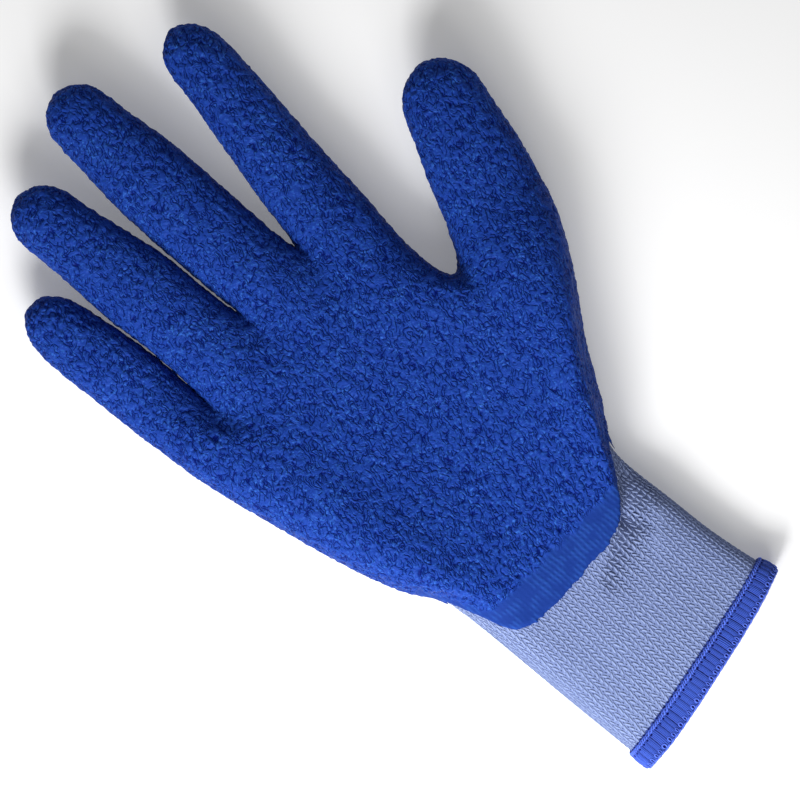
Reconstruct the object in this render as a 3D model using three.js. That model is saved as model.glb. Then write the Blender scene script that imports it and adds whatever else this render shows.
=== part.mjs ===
// Glass handling glove for the right hand, lying palm up.
// Millimetres, +Z up, +Y from the cuff to the fingertips, +X to the thumb side.
// The outer form is one smooth surface through the sections in the tables below:
// rows across the cuff and palm, and rings round each finger and the thumb.
// The rubber skin, the knitted wall under it and the hem are walls set in from that surface.

import * as THREE from 'three';

// Walls and clearances; the rubber skin thins out to its edge
const COAT_WALL = 1.0;
const COAT_EDGE = 0.5;
const KNIT_WALL = 1.3;
const SEAT_GAP = 0.3;
const KNIT_DEPTH = COAT_WALL + SEAT_GAP;

// The tables count from the middle of the hem; this is the middle of the glove's plan
const PLAN_CENTRE = { x: 13.5, y: 122.6 };

// Cuff and palm: where each row meets the outline at the left and right, how far its palm side
// sags towards the hem between them, its heights on the left pad, in the middle and on the right pad,
// and how far its back lies below the bench before it is flattened there
const ROW_COLUMNS = ['row', 'left', 'right', 'sag', 'pads', 'belly'];
const named = (rows) => rows.map((row) => Object.fromEntries(ROW_COLUMNS.map((name, k) => [name, row[k]])));
const HAND_ROWS = named([
  ['hem_end', [-34.9, -5.7], [34.5, 4.0], 1.5, [14.2, 15.0, 14.2], 1.5],
  ['hem_top', [-35.1, 2.6], [33.0, 11.0], 0.6, [14.2, 15.2, 14.2], 1.7],
  ['cuff_middle', [-35.6, 22.0], [31.0, 27.5], 1, [14.6, 15.6, 14.6], 1.9],
  ['cuff_neck', [-35.9, 41.0], [30.4, 43.5], 8, [15.4, 15.6, 15.4], 1.9],
  ['latex_edge', [-36.6, 67.5], [30.3, 62.0], 18, [17.2, 16.6, 17.4], 1.9],
  ['palm_heel', [-39.0, 76.0], [36.9, 73.5], 17, [20.4, 18.2, 20.8], 1.9],
  ['thumb_mount', [-43.6, 88.0], [47.2, 88.5], 12, [22.6, 18.8, 24.4], 1.9],
  ['palm_hollow', [-47.6, 104.0], [58.6, 102.2], 6, [22.8, 18.4, 25.6], 1.9],
  ['thumb_fork', [-51.2, 123.0], [69.3, 117.7], 0, [21.8, 18.6, 24.0], 1.9],
]);

// From the fork of the thumb to the forks of the fingers
const KNUCKLE_ROWS = named([
  ['knuckles', [-54.5, 142.0], [35.0, 143.5], 0, [20.4, 19.0, 19.6], 1.7],
  ['finger_forks', [-55.8, 155.0], [37.2, 161.0], 0, [18.6, 19.0, 18.8], 0.9],
]);

// Forks: the column of the rows where two digits part, its plan place in the row,
// and the bottom of the crotch between them
const THUMB_FORK = { column: 8, at: [38.4, 122.5], crotch: [37.7, 130.2], top: -1.6, back: 0.6 };
const FINGER_FORKS = [
  { column: 2, at: [-36.4, 154.5], crotch: [-36.7, 161.4], top: -3.4, back: 2.4 },
  { column: 4, at: [-11.2, 163.5], crotch: [-11.4, 170.4], top: -3.0, back: 2.0 },
  { column: 6, at: [13.6, 163.0], crotch: [13.7, 170.1], top: -2.6, back: 1.8 },
];

// Digits: the columns of the rows that each one grows from, the plan place of its tip, its lean to the
// thumb side in degrees, the height of its axis at the root and how far the tip is lifted above that
const DIGITS = {
  little: { columns: [0, 2], tip: [-48.9, 217.0], lean: -2.6, height: 7.4, lift: 4.5 },
  ring: { columns: [2, 4], tip: [-27.6, 239.8], lean: -3.6, height: 9.2, lift: 4.0 },
  middle: { columns: [4, 6], tip: [1.6, 251.1], lean: 1.0, height: 8.8, lift: 3.5 },
  index: { columns: [6, 8], tip: [38.2, 237.5], lean: 10.2, height: 8.8, lift: 4.0 },
  thumb: { columns: [8, 10], tip: [77.9, 176.5], lean: 22.3, height: 10.4, lift: 4.0 },
};

// Rings of each digit: distance from the tip, half the width and half the thickness there,
// and how far the ring lies aside of the straight line, to the thumb side
const DIGIT_RINGS = {
  little: [
    { from_tip: 46, half_width: 10.2, half_thick: 8.1, aside: 0.1 },
    { from_tip: 32, half_width: 10.2, half_thick: 8.1, aside: 0.3 },
    { from_tip: 18, half_width: 9.7, half_thick: 7.7, aside: 0 },
    { from_tip: 6, half_width: 7.5, half_thick: 5.8, aside: 0 },
  ],
  ring: [
    { from_tip: 61, half_width: 11.9, half_thick: 8.7, aside: -0.5 },
    { from_tip: 45, half_width: 12.1, half_thick: 8.5, aside: 0 },
    { from_tip: 31, half_width: 11.2, half_thick: 8.1, aside: 0 },
    { from_tip: 17, half_width: 10.1, half_thick: 7.9, aside: 0 },
    { from_tip: 6, half_width: 8.5, half_thick: 6.0, aside: -0.1 },
  ],
  middle: [
    { from_tip: 69, half_width: 12.3, half_thick: 8.8, aside: 0.2 },
    { from_tip: 50, half_width: 12.4, half_thick: 8.6, aside: 0 },
    { from_tip: 33, half_width: 12.0, half_thick: 8.3, aside: 0 },
    { from_tip: 17, half_width: 10.4, half_thick: 7.6, aside: 0 },
    { from_tip: 6, half_width: 8.6, half_thick: 5.8, aside: 0.1 },
  ],
  index: [
    { from_tip: 58, half_width: 11.6, half_thick: 8.7, aside: 0.1 },
    { from_tip: 43, half_width: 10.8, half_thick: 8.4, aside: 0.2 },
    { from_tip: 29, half_width: 10.1, half_thick: 8.0, aside: 0.5 },
    { from_tip: 16, half_width: 9.3, half_thick: 7.6, aside: 0.5 },
    { from_tip: 6, half_width: 7.7, half_thick: 5.9, aside: 0 },
  ],
  thumb: [
    { from_tip: 45, half_width: 15.2, half_thick: 10.4, aside: -0.2 },
    { from_tip: 31, half_width: 14.3, half_thick: 9.8, aside: 0 },
    { from_tip: 18, half_width: 12.7, half_thick: 8.9, aside: 0 },
    { from_tip: 7, half_width: 10.3, half_thick: 6.8, aside: 0 },
  ],
};

// Hem: an oval roll of thread round the mouth of the cuff, proud of the knitted wall on both faces
const HEM = { proud: 1.3, inside: 0.9, sides: 8 };

// Form of the flat rows: how late their sag sets in, and how round their flanks are
const COLUMNS = 10;
const SAG_POWER = 3.2;
const CORNER_INSET = 0.3;
const CORNER_HEIGHT = 0.74;
const PAD_REACH = 0.38;

// Form of the digits: power of the squarish oval, of the lift towards the tip, and the length of the root
const DIGIT_SQUARENESS = 2.25;
const LIFT_POWER = 1.6;
const ROOT_LENGTH = 12;

// Rounds of moving the net until its smooth surface passes through the tables' points
const FIT_ROUNDS = 12;

// One quad net, its vertices found again by name
class Net {
  constructor() {
    this.names = new Map();
    this.points = [];
    this.coat = [];
    this.quads = [];
    this.tags = [];
  }

  vertex(name, point, coat) {
    if (!this.names.has(name)) {
      this.names.set(name, this.points.length);
      this.points.push(new THREE.Vector3(...point));
      this.coat.push(coat);
    }
    return this.names.get(name);
  }

  quad(corners, tag) {
    this.quads.push(corners);
    this.tags.push(tag);
  }
}

function mix(from, to, share) {
  return from + (to - from) * share;
}

// A parabola through the three pad heights, level outside the two outer pads
function padHeight(pads, share) {
  const t = (share - 0.5) / PAD_REACH;
  const slope = (pads[2] - pads[0]) / 2;
  const bend = (pads[2] + pads[0]) / 2 - pads[1];
  return pads[1] + slope * t + bend * Math.min(t * t, 1);
}

// Plan places of a row's columns, straight between the outline's insets and any forks
function rowPosts(row, lastColumn, forks) {
  const half = (row.pads[1] + row.belly) / 2;
  const inset = CORNER_INSET * half;
  const span = Math.hypot(row.right[0] - row.left[0], row.right[1] - row.left[1]);
  const along = [(row.right[0] - row.left[0]) / span, (row.right[1] - row.left[1]) / span];
  const posts = [{ column: 0, at: [row.left[0] + along[0] * inset, row.left[1] + along[1] * inset] }];
  posts.push(...forks);
  const lastPost = [row.right[0] - along[0] * inset, row.right[1] - along[1] * inset];
  posts.push({ column: lastColumn, at: lastPost });
  return posts;
}

function planPlace(posts, column) {
  const next = Math.max(1, posts.findIndex((post) => post.column >= column));
  const before = posts[next - 1];
  const after = posts[next];
  const share = (column - before.column) / (after.column - before.column);
  return [mix(before.at[0], after.at[0], share), mix(before.at[1], after.at[1], share)];
}

// Ring of vertices of one row of the flat hand: palm side, right flank, back, left flank
function handRing(net, row, coated, lastColumn, forks = []) {
  const posts = rowPosts(row, lastColumn, forks);
  const middle = (row.pads[1] - row.belly) / 2;
  const top = [];
  const back = [];
  for (let column = 0; column <= lastColumn; column += 1) {
    const [x, y] = planPlace(posts, column);
    const share = column / lastColumn;
    const fork = forks.find((item) => item.column === column);
    const edge = column === 0 || column === lastColumn;
    const sag = row.sag * (1 - Math.abs(2 * share - 1) ** SAG_POWER);
    const crown = padHeight(row.pads, share) + (fork ? fork.top : 0);
    const floor = -row.belly + (fork ? fork.back : 0);
    const high = edge ? mix(middle, crown, CORNER_HEIGHT) : crown;
    const low = edge ? mix(middle, floor, CORNER_HEIGHT) : floor;
    top.push(net.vertex(`${row.row}.top${column}`, [x, y - sag, high], coated));
    back.push(net.vertex(`${row.row}.back${column}`, [x, y, low], -1));
  }
  const right = net.vertex(`${row.row}.right`, [...row.right, middle], coated);
  const left = net.vertex(`${row.row}.left`, [...row.left, middle], coated);
  return { top, back, left, right };
}

function loopOf(ring) {
  return [...ring.top, ring.right, ...ring.back.slice().reverse(), ring.left];
}

function bandBetween(net, lower, upper, tag) {
  const a = loopOf(lower);
  const b = loopOf(upper);
  a.forEach((corner, k) => {
    const next = (k + 1) % a.length;
    net.quad([corner, a[next], b[next], b[k]], tag);
  });
}

// The part of a ring between two forks, closed by the crotch points
function ringPart(ring, first, last, leftPoint, rightPoint) {
  return {
    top: ring.top.slice(first, last + 1),
    back: ring.back.slice(first, last + 1),
    left: leftPoint,
    right: rightPoint,
  };
}

function crotchPoint(net, fork, row) {
  const middle = (row.pads[1] - row.belly) / 2;
  return net.vertex(`${row.row}.crotch${fork.column}`, [...fork.crotch, middle], 1);
}

// Cosine and sine of a squarish oval at one of its eight posts
function ovalPost(turn) {
  const power = 2 / DIGIT_SQUARENESS;
  const c = Math.cos(turn);
  const s = Math.sin(turn);
  return [Math.sign(c) * Math.abs(c) ** power, Math.sign(s) * Math.abs(s) ** power];
}

function digitRing(net, name, digit, ring, index, reach, last) {
  const lean = THREE.MathUtils.degToRad(digit.lean);
  const along = [Math.sin(lean), Math.cos(lean)];
  const across = [Math.cos(lean), -Math.sin(lean)];
  const centre = [digit.tip[0] - along[0] * ring.from_tip, digit.tip[1] - along[1] * ring.from_tip];
  const height = digit.height + digit.lift * (1 - ring.from_tip / reach) ** LIFT_POWER;
  const place = (turn, label, coat) => {
    const [c, s] = ovalPost(turn);
    const aside = c * ring.half_width + ring.aside;
    const plan = [centre[0] + across[0] * aside, centre[1] + across[1] * aside];
    return net.vertex(`${name}.${index}.${label}`, [...plan, height + s * ring.half_thick], coat);
  };
  const backCoat = last ? 1 : -1;
  const eighth = Math.PI / 4;
  return {
    top: [3, 2, 1].map((k) => place(k * eighth, `top${k}`, 1)),
    back: [5, 6, 7].map((k) => place(k * eighth, `back${k}`, backCoat)),
    left: place(Math.PI, 'left', 1),
    right: place(0, 'right', 1),
  };
}

function growDigit(net, name, root, ownTag, rootTag) {
  const digit = DIGITS[name];
  const rings = DIGIT_RINGS[name];
  const reach = rings[0].from_tip + ROOT_LENGTH;
  let lower = root;
  rings.forEach((ring, index) => {
    const upper = digitRing(net, name, digit, ring, index, reach, index === rings.length - 1);
    bandBetween(net, lower, upper, index === 0 ? rootTag : ownTag);
    lower = upper;
  });
  const tip = net.vertex(`${name}.tip`, [...digit.tip, digit.height + digit.lift], 1);
  net.quad([lower.top[0], lower.top[1], tip, lower.left], ownTag);
  net.quad([lower.top[1], lower.top[2], lower.right, tip], ownTag);
  net.quad([tip, lower.right, lower.back[2], lower.back[1]], ownTag);
  net.quad([lower.left, tip, lower.back[1], lower.back[0]], ownTag);
}

// The whole glove's net, each quad tagged with the knitted piece that it belongs to
function gloveNet() {
  const net = new Net();
  const edgeRow = HAND_ROWS.findIndex((row) => row.row === 'latex_edge');
  const coatOf = (index) => Math.sign(index - edgeRow);
  const lastHand = HAND_ROWS.length - 1;
  const hand = HAND_ROWS.map((row, index) =>
    handRing(net, row, coatOf(index), COLUMNS, index === lastHand ? [THUMB_FORK] : []));
  for (let index = 0; index < lastHand; index += 1) {
    const tag = index === 0 ? 'hem' : (index < edgeRow ? 'knit_cuff' : 'knit_palm');
    bandBetween(net, hand[index], hand[index + 1], tag);
  }

  const fork = hand[lastHand];
  const web = crotchPoint(net, THUMB_FORK, HAND_ROWS[lastHand]);
  const thumbRoot = ringPart(fork, THUMB_FORK.column, COLUMNS, web, fork.right);
  growDigit(net, 'thumb', thumbRoot, 'knit_thumb', 'knit_palm');

  const span = THUMB_FORK.column;
  let lower = ringPart(fork, 0, span, fork.left, web);
  const knuckles = handRing(net, KNUCKLE_ROWS[0], 1, span);
  bandBetween(net, lower, knuckles, 'knit_palm');
  lower = handRing(net, KNUCKLE_ROWS[1], 1, span, FINGER_FORKS);
  bandBetween(net, knuckles, lower, 'knit_palm');

  const crotches = FINGER_FORKS.map((item) => crotchPoint(net, item, KNUCKLE_ROWS[1]));
  const flanks = [lower.left, ...crotches, lower.right];
  ['little', 'ring', 'middle', 'index'].forEach((name, k) => {
    const [first, last] = DIGITS[name].columns;
    const root = ringPart(lower, first, last, flanks[k], flanks[k + 1]);
    growDigit(net, name, root, `knit_${name}`, 'knit_palm');
  });
  return { net, mouth: hand[0], hemTop: hand[1] };
}

function edgeKey(a, b) {
  return a < b ? `${a}_${b}` : `${b}_${a}`;
}

// Neighbours of every vertex: along its edges, and across its quads
function neighbours(net) {
  const edges = new Map();
  const around = net.points.map(() => ({ beside: new Set(), across: [], rim: [] }));
  for (const quad of net.quads) {
    quad.forEach((corner, k) => {
      const next = quad[(k + 1) % 4];
      const key = edgeKey(corner, next);
      edges.set(key, (edges.get(key) || 0) + 1);
      around[corner].beside.add(next);
      around[next].beside.add(corner);
      around[corner].across.push(quad[(k + 2) % 4]);
    });
  }
  for (const [key, uses] of edges) {
    if (uses === 1) {
      const [a, b] = key.split('_').map(Number);
      around[a].rim.push(b);
      around[b].rim.push(a);
    }
  }
  return around;
}

// Where the smooth surface passes for each vertex of its net
function surfacePoints(net, around) {
  return net.points.map((point, index) => {
    const { beside, across, rim } = around[index];
    const out = new THREE.Vector3();
    if (rim.length === 2) {
      out.addScaledVector(point, 4).add(net.points[rim[0]]).add(net.points[rim[1]]);
      return out.divideScalar(6);
    }
    const count = beside.size;
    out.addScaledVector(point, count * count);
    for (const other of beside) {
      out.addScaledVector(net.points[other], 4);
    }
    for (const other of across) {
      out.add(net.points[other]);
    }
    return out.divideScalar(count * (count + 5));
  });
}

// Moves the net until its smooth surface passes through the table's points
function fitNet(net) {
  const around = neighbours(net);
  const targets = net.points.map((point) => point.clone());
  for (let round = 0; round < FIT_ROUNDS; round += 1) {
    const passed = surfacePoints(net, around);
    net.points.forEach((point, index) => point.add(targets[index]).sub(passed[index]));
  }
}

// One step of Catmull-Clark subdivision; tags and the coat mark are carried along, and the new vertex
// of each old edge can be found again
function subdivide(net) {
  const around = neighbours(net);
  const fine = new Net();
  const add = (point, coat) => {
    fine.points.push(point);
    fine.coat.push(coat);
    return fine.points.length - 1;
  };
  const sumOf = (ids) => ids.reduce((sum, id) => sum.add(net.points[id]), new THREE.Vector3());
  const mean = (ids) => sumOf(ids).divideScalar(ids.length);
  const meanCoat = (ids) => ids.reduce((sum, id) => sum + net.coat[id], 0) / ids.length;

  const middles = net.quads.map((quad) => mean(quad));
  const facesOf = net.points.map(() => []);
  const facesOfEdge = new Map();
  net.quads.forEach((quad, face) => {
    quad.forEach((corner, k) => {
      facesOf[corner].push(face);
      const key = edgeKey(corner, quad[(k + 1) % 4]);
      facesOfEdge.set(key, [...(facesOfEdge.get(key) || []), face]);
    });
  });

  net.points.forEach((point, index) => {
    const { beside, rim } = around[index];
    if (rim.length === 2) {
      const moved = point.clone().multiplyScalar(6).add(net.points[rim[0]]).add(net.points[rim[1]]);
      add(moved.divideScalar(8), net.coat[index]);
      return;
    }
    const count = beside.size;
    const faces = facesOf[index].reduce((sum, face) => sum.add(middles[face]), new THREE.Vector3());
    const edges = new THREE.Vector3();
    for (const other of beside) {
      edges.addScaledVector(point.clone().add(net.points[other]), 0.5);
    }
    const moved = faces.divideScalar(count).addScaledVector(edges, 2 / count);
    moved.addScaledVector(point, count - 3).divideScalar(count);
    add(moved, net.coat[index]);
  });

  fine.between = new Map();
  for (const [key, faces] of facesOfEdge) {
    const ends = key.split('_').map(Number);
    const point = mean(ends);
    if (faces.length === 2) {
      const beside = middles[faces[0]].clone().add(middles[faces[1]]).multiplyScalar(0.5);
      point.add(beside).multiplyScalar(0.5);
    }
    fine.between.set(key, add(point, meanCoat(ends)));
  }

  net.quads.forEach((quad, face) => {
    const centre = add(middles[face], meanCoat(quad));
    quad.forEach((corner, k) => {
      const ahead = fine.between.get(edgeKey(corner, quad[(k + 1) % 4]));
      const behind = fine.between.get(edgeKey(corner, quad[(k + 3) % 4]));
      fine.quad([corner, ahead, centre, behind], net.tags[face]);
    });
  });
  return fine;
}

// The smooth surface sampled at the net's vertices, with its normals
function sampledSurface(net) {
  const points = surfacePoints(net, neighbours(net));
  const normals = points.map(() => new THREE.Vector3());
  for (const [a, b, c, d] of net.quads) {
    const first = points[c].clone().sub(points[a]);
    const second = points[d].clone().sub(points[b]);
    const normal = first.cross(second);
    [a, b, c, d].forEach((corner) => normals[corner].add(normal));
  }
  normals.forEach((normal) => normal.normalize());
  return { points, normals, quads: net.quads, tags: net.tags, coat: net.coat };
}

// The surface moved in by the depth at each vertex, and flattened where it would sink below a height
function setIn(surface, depthAt, lowest = -Infinity) {
  return surface.points.map((point, index) => {
    const moved = point.clone().addScaledVector(surface.normals[index], -depthAt(index));
    moved.x -= PLAN_CENTRE.x;
    moved.y -= PLAN_CENTRE.y;
    moved.z = Math.max(moved.z, lowest);
    return moved;
  });
}

// A mesh of the positions that its triangles use
function geometryOf(positions, triangles) {
  const used = new Map();
  const flat = [];
  const index = triangles.map((corner) => {
    if (!used.has(corner)) {
      used.set(corner, used.size);
      flat.push(...positions[corner].toArray());
    }
    return used.get(corner);
  });
  const geometry = new THREE.BufferGeometry();
  geometry.setAttribute('position', new THREE.Float32BufferAttribute(flat, 3));
  geometry.setIndex(index);
  geometry.computeVertexNormals();
  return geometry;
}

// A closed wall between two layers of the same faces, with its rims closed
function wallGeometry(quads, outer, inner) {
  const positions = [...outer, ...inner];
  const shift = outer.length;
  const uses = new Map();
  for (const quad of quads) {
    quad.forEach((corner, k) => {
      const key = edgeKey(corner, quad[(k + 1) % 4]);
      uses.set(key, (uses.get(key) || 0) + 1);
    });
  }
  const triangles = [];
  for (const quad of quads) {
    const [a, b, c, d] = quad;
    triangles.push(a, b, c, a, c, d);
    triangles.push(a + shift, c + shift, b + shift, a + shift, d + shift, c + shift);
    quad.forEach((corner, k) => {
      const next = quad[(k + 1) % 4];
      if (uses.get(edgeKey(corner, next)) === 1) {
        triangles.push(next, corner, corner + shift, next, corner + shift, next + shift);
      }
    });
  }
  return geometryOf(positions, triangles);
}

// Draws the rim of one piece back along its own faces, so that it stays clear of the next piece
function drawnBack(quads, rimOf, layer, amount) {
  const moved = new Map();
  for (const quad of quads) {
    quad.forEach((corner, k) => {
      for (const other of [quad[(k + 1) % 4], quad[(k + 3) % 4]]) {
        if (rimOf.has(corner) && !rimOf.has(other)) {
          moved.set(corner, layer[other].clone().sub(layer[corner]).setLength(amount).add(layer[corner]));
        }
      }
    });
  }
  return layer.map((point, index) => moved.get(index) || point);
}

function knitWall(surface, tag) {
  const own = surface.quads.filter((_, face) => surface.tags[face] === tag);
  const others = new Set(surface.quads.filter((_, face) => surface.tags[face] !== tag).flat());
  const rim = new Set(own.flat().filter((corner) => others.has(corner)));
  const outer = drawnBack(own, rim, setIn(surface, () => KNIT_DEPTH, 0), SEAT_GAP / 2);
  const inner = drawnBack(own, rim, setIn(surface, () => KNIT_DEPTH + KNIT_WALL, KNIT_WALL), SEAT_GAP / 2);
  return wallGeometry(own, outer, inner);
}

// The rubber skin, over every face whose corners are mostly marked as coated
function coatWall(surface) {
  const marks = (quad) => quad.reduce((sum, corner) => sum + surface.coat[corner], 0);
  const coated = surface.quads.filter((quad) => marks(quad) > 0);
  const outerDepth = (index) => (surface.coat[index] === 0 ? COAT_WALL - COAT_EDGE : 0);
  return wallGeometry(coated, setIn(surface, outerDepth), setIn(surface, () => COAT_WALL));
}

// A row's ring of vertices after the subdivision: its own, with the new ones between them
function fineRing(ring, fine) {
  const loop = loopOf(ring);
  return loop.flatMap((corner, k) => {
    const next = loop[(k + 1) % loop.length];
    return [corner, fine.between.get(edgeKey(corner, next))];
  });
}

// The sewn roll: an oval swept round the mouth, from the glove's end to the cuff's first row
function hemRoll(surface, mouth, top) {
  const wall = setIn(surface, () => KNIT_DEPTH + KNIT_WALL / 2, KNIT_WALL / 2);
  const positions = mouth.flatMap((corner, k) => {
    const along = wall[top[k]].clone().sub(wall[corner]);
    const half = (along.length() - SEAT_GAP / 2) / 2;
    along.normalize();
    const centre = wall[corner].clone().addScaledVector(along, half);
    return Array.from({ length: HEM.sides }, (_, side) => {
      const turn = (side + 0.5) * 2 * Math.PI / HEM.sides;
      const thick = KNIT_WALL / 2 + (Math.cos(turn) > 0 ? HEM.proud : HEM.inside);
      const wide = half / Math.cos(Math.PI / HEM.sides);
      const point = centre.clone().addScaledVector(along, Math.sin(turn) * wide);
      point.addScaledVector(surface.normals[corner], Math.cos(turn) * thick);
      point.z = Math.max(point.z, 0);
      return point;
    });
  });
  const triangles = mouth.flatMap((_, k) => {
    const here = k * HEM.sides;
    const next = (k + 1) % mouth.length * HEM.sides;
    return Array.from({ length: HEM.sides }, (__, side) => {
      const turned = (side + 1) % HEM.sides;
      return [here + side, next + side, next + turned, here + side, next + turned, here + turned];
    }).flat();
  });
  return geometryOf(positions, triangles);
}

const FINISHES = {
  knit: { color: 0x8f9fd0, roughness: 0.92, metalness: 0 },
  latex: { color: 0x143c9e, roughness: 0.6, metalness: 0 },
  hem: { color: 0x3248c4, roughness: 0.8, metalness: 0 },
};

function addPiece(group, name, geometry, finish) {
  const mesh = new THREE.Mesh(geometry, new THREE.MeshStandardMaterial(finish));
  mesh.name = name;
  group.add(mesh);
}

const KNIT_PIECES = ['cuff', 'palm', ...Object.keys(DIGITS)].map((part) => `knit_${part}`);

const { net, mouth, hemTop } = gloveNet();
fitNet(net);
const fine = subdivide(net);
const surface = sampledSurface(fine);
const hem = hemRoll(surface, fineRing(mouth, fine), fineRing(hemTop, fine));

const group = new THREE.Group();
KNIT_PIECES.forEach((piece) => addPiece(group, piece, knitWall(surface, piece), FINISHES.knit));
addPiece(group, 'latex_coating', coatWall(surface), FINISHES.latex);
addPiece(group, 'overlock_hem', hem, FINISHES.hem);

export default group;
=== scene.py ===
"""Looks of a dipped work glove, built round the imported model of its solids.

The glove's outer form is the smooth surface that the solids follow: rows across the cuff and palm,
and rings round each digit. The rubber skin, the knitted liner, its stitches and the sewn hem are all
laid on that surface, so that every piece sits where its solid does. Tables are in millimetres,
counted from the middle of the hem; everything built is in metres, in the model's frame.
"""

import logging
import math
from collections import defaultdict
from dataclasses import dataclass, field
from enum import Enum, IntEnum
from typing import Callable, NamedTuple, Sequence

import bpy
import numpy as np
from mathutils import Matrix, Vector, noise


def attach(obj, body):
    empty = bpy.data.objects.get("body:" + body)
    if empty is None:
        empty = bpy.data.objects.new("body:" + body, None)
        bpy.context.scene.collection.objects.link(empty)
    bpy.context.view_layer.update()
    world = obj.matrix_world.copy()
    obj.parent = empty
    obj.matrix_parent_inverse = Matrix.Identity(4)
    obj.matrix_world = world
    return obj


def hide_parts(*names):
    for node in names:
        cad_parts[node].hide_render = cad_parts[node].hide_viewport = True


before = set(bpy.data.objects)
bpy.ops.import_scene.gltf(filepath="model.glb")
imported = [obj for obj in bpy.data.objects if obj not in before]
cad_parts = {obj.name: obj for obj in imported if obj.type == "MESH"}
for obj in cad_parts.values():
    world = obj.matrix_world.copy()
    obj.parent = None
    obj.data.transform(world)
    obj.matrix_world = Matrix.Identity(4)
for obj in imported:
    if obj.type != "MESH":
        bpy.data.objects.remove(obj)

logging.basicConfig(level=logging.INFO, format="%(name)s: %(message)s")
log = logging.getLogger("glove")

MM = 0.001
PLAN_CENTRE = (13.5, 122.6)
FLOOR = 0.0

# Depths below the outer surface, in millimetres
COAT_WALL = 1.0
KNIT_DEPTH = 1.3
KNIT_WALL = 1.3
YARN_BED = 1.62

# Names of what the meshes carry
FORM_UV = "form"
YARN_UV = "yarn"


class Part(IntEnum):
    """Stretches of the glove's surface."""

    HEM = 0
    CUFF = 1
    PALM = 2
    THUMB = 3
    INDEX = 4
    MIDDLE = 5
    RING = 6
    LITTLE = 7


HAND = (Part.HEM, Part.CUFF, Part.PALM)


class Slot(Enum):
    """Material slots of the part's record."""

    KNIT = "knit"
    LATEX = "latex"
    THREAD = "hem_thread"


class Row(NamedTuple):
    """A section across the cuff or palm.

    It has its ends on the outline, how far its middle sags to the hem, the heights of its left pad,
    middle and right pad, and how far its back lies below the bench before it is flattened there.
    """

    name: str
    left: tuple[float, float]
    right: tuple[float, float]
    sag: float
    pads: tuple[float, float, float]
    belly: float

    @property
    def half_thick(self) -> float:
        """Half the glove's thickness there."""
        return (self.pads[1] + self.belly) / 2

    @property
    def middle(self) -> float:
        """Height of the middle of the glove there."""
        return (self.pads[1] - self.belly) / 2


HAND_ROWS = (
    Row("hem_end", (-34.9, -5.7), (34.5, 4.0), 1.5, (14.2, 15.0, 14.2), 1.5),
    Row("hem_top", (-35.1, 2.6), (33.0, 11.0), 0.6, (14.2, 15.2, 14.2), 1.7),
    Row("cuff_middle", (-35.6, 22.0), (31.0, 27.5), 1, (14.6, 15.6, 14.6), 1.9),
    Row("cuff_neck", (-35.9, 41.0), (30.4, 43.5), 8, (15.4, 15.6, 15.4), 1.9),
    Row("latex_edge", (-36.6, 67.5), (30.3, 62.0), 18, (17.2, 16.6, 17.4), 1.9),
    Row("palm_heel", (-39.0, 76.0), (36.9, 73.5), 17, (20.4, 18.2, 20.8), 1.9),
    Row("thumb_mount", (-43.6, 88.0), (47.2, 88.5), 12, (22.6, 18.8, 24.4), 1.9),
    Row("palm_hollow", (-47.6, 104.0), (58.6, 102.2), 6, (22.8, 18.4, 25.6), 1.9),
    Row("thumb_fork", (-51.2, 123.0), (69.3, 117.7), 0, (21.8, 18.6, 24.0), 1.9),
)
KNUCKLE_ROWS = (
    Row("knuckles", (-54.5, 142.0), (35.0, 143.5), 0, (20.4, 19.0, 19.6), 1.7),
    Row("finger_forks", (-55.8, 155.0), (37.2, 161.0), 0, (18.6, 19.0, 18.8), 0.9),
)

# The row that the rubber ends on, and the row whose turns all the rows take
EDGE_ROW = 4
REFERENCE_ROW = 2


class Fork(NamedTuple):
    """Where two digits part.

    It has its column and plan place in the row, the crotch, and how far the palm side and the back
    are drawn together there.
    """

    column: int
    at: tuple[float, float]
    crotch: tuple[float, float]
    top: float
    back: float


THUMB_FORK = Fork(8, (38.4, 122.5), (37.7, 130.2), -1.6, 0.6)
FINGER_FORKS = (
    Fork(2, (-36.4, 154.5), (-36.7, 161.4), -3.4, 2.4),
    Fork(4, (-11.2, 163.5), (-11.4, 170.4), -3.0, 2.0),
    Fork(6, (13.6, 163.0), (13.7, 170.1), -2.6, 1.8),
)


class Section(NamedTuple):
    """A ring round a digit.

    It has its distance from the tip, half its width and thickness, and how far it lies aside of the
    digit's straight line.
    """

    from_tip: float
    half_width: float
    half_thick: float
    aside: float


@dataclass(frozen=True)
class Digit:
    """One digit: the row's columns it grows from, its tip and lean, its height and lift, its rings."""

    part: Part
    columns: tuple[int, int]
    tip: tuple[float, float]
    lean: float
    height: float
    lift: float
    sections: tuple[Section, ...]

    @property
    def along(self) -> np.ndarray:
        """Plan direction from the root to the tip."""
        lean = math.radians(self.lean)
        return np.array([math.sin(lean), math.cos(lean)])

    @property
    def across(self) -> np.ndarray:
        """Plan direction to the thumb side."""
        return np.array([self.along[1], -self.along[0]])

    @property
    def reach(self) -> float:
        """Length from the tip over which the digit rises from its root."""
        return self.sections[0].from_tip + ROOT_LENGTH


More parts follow.
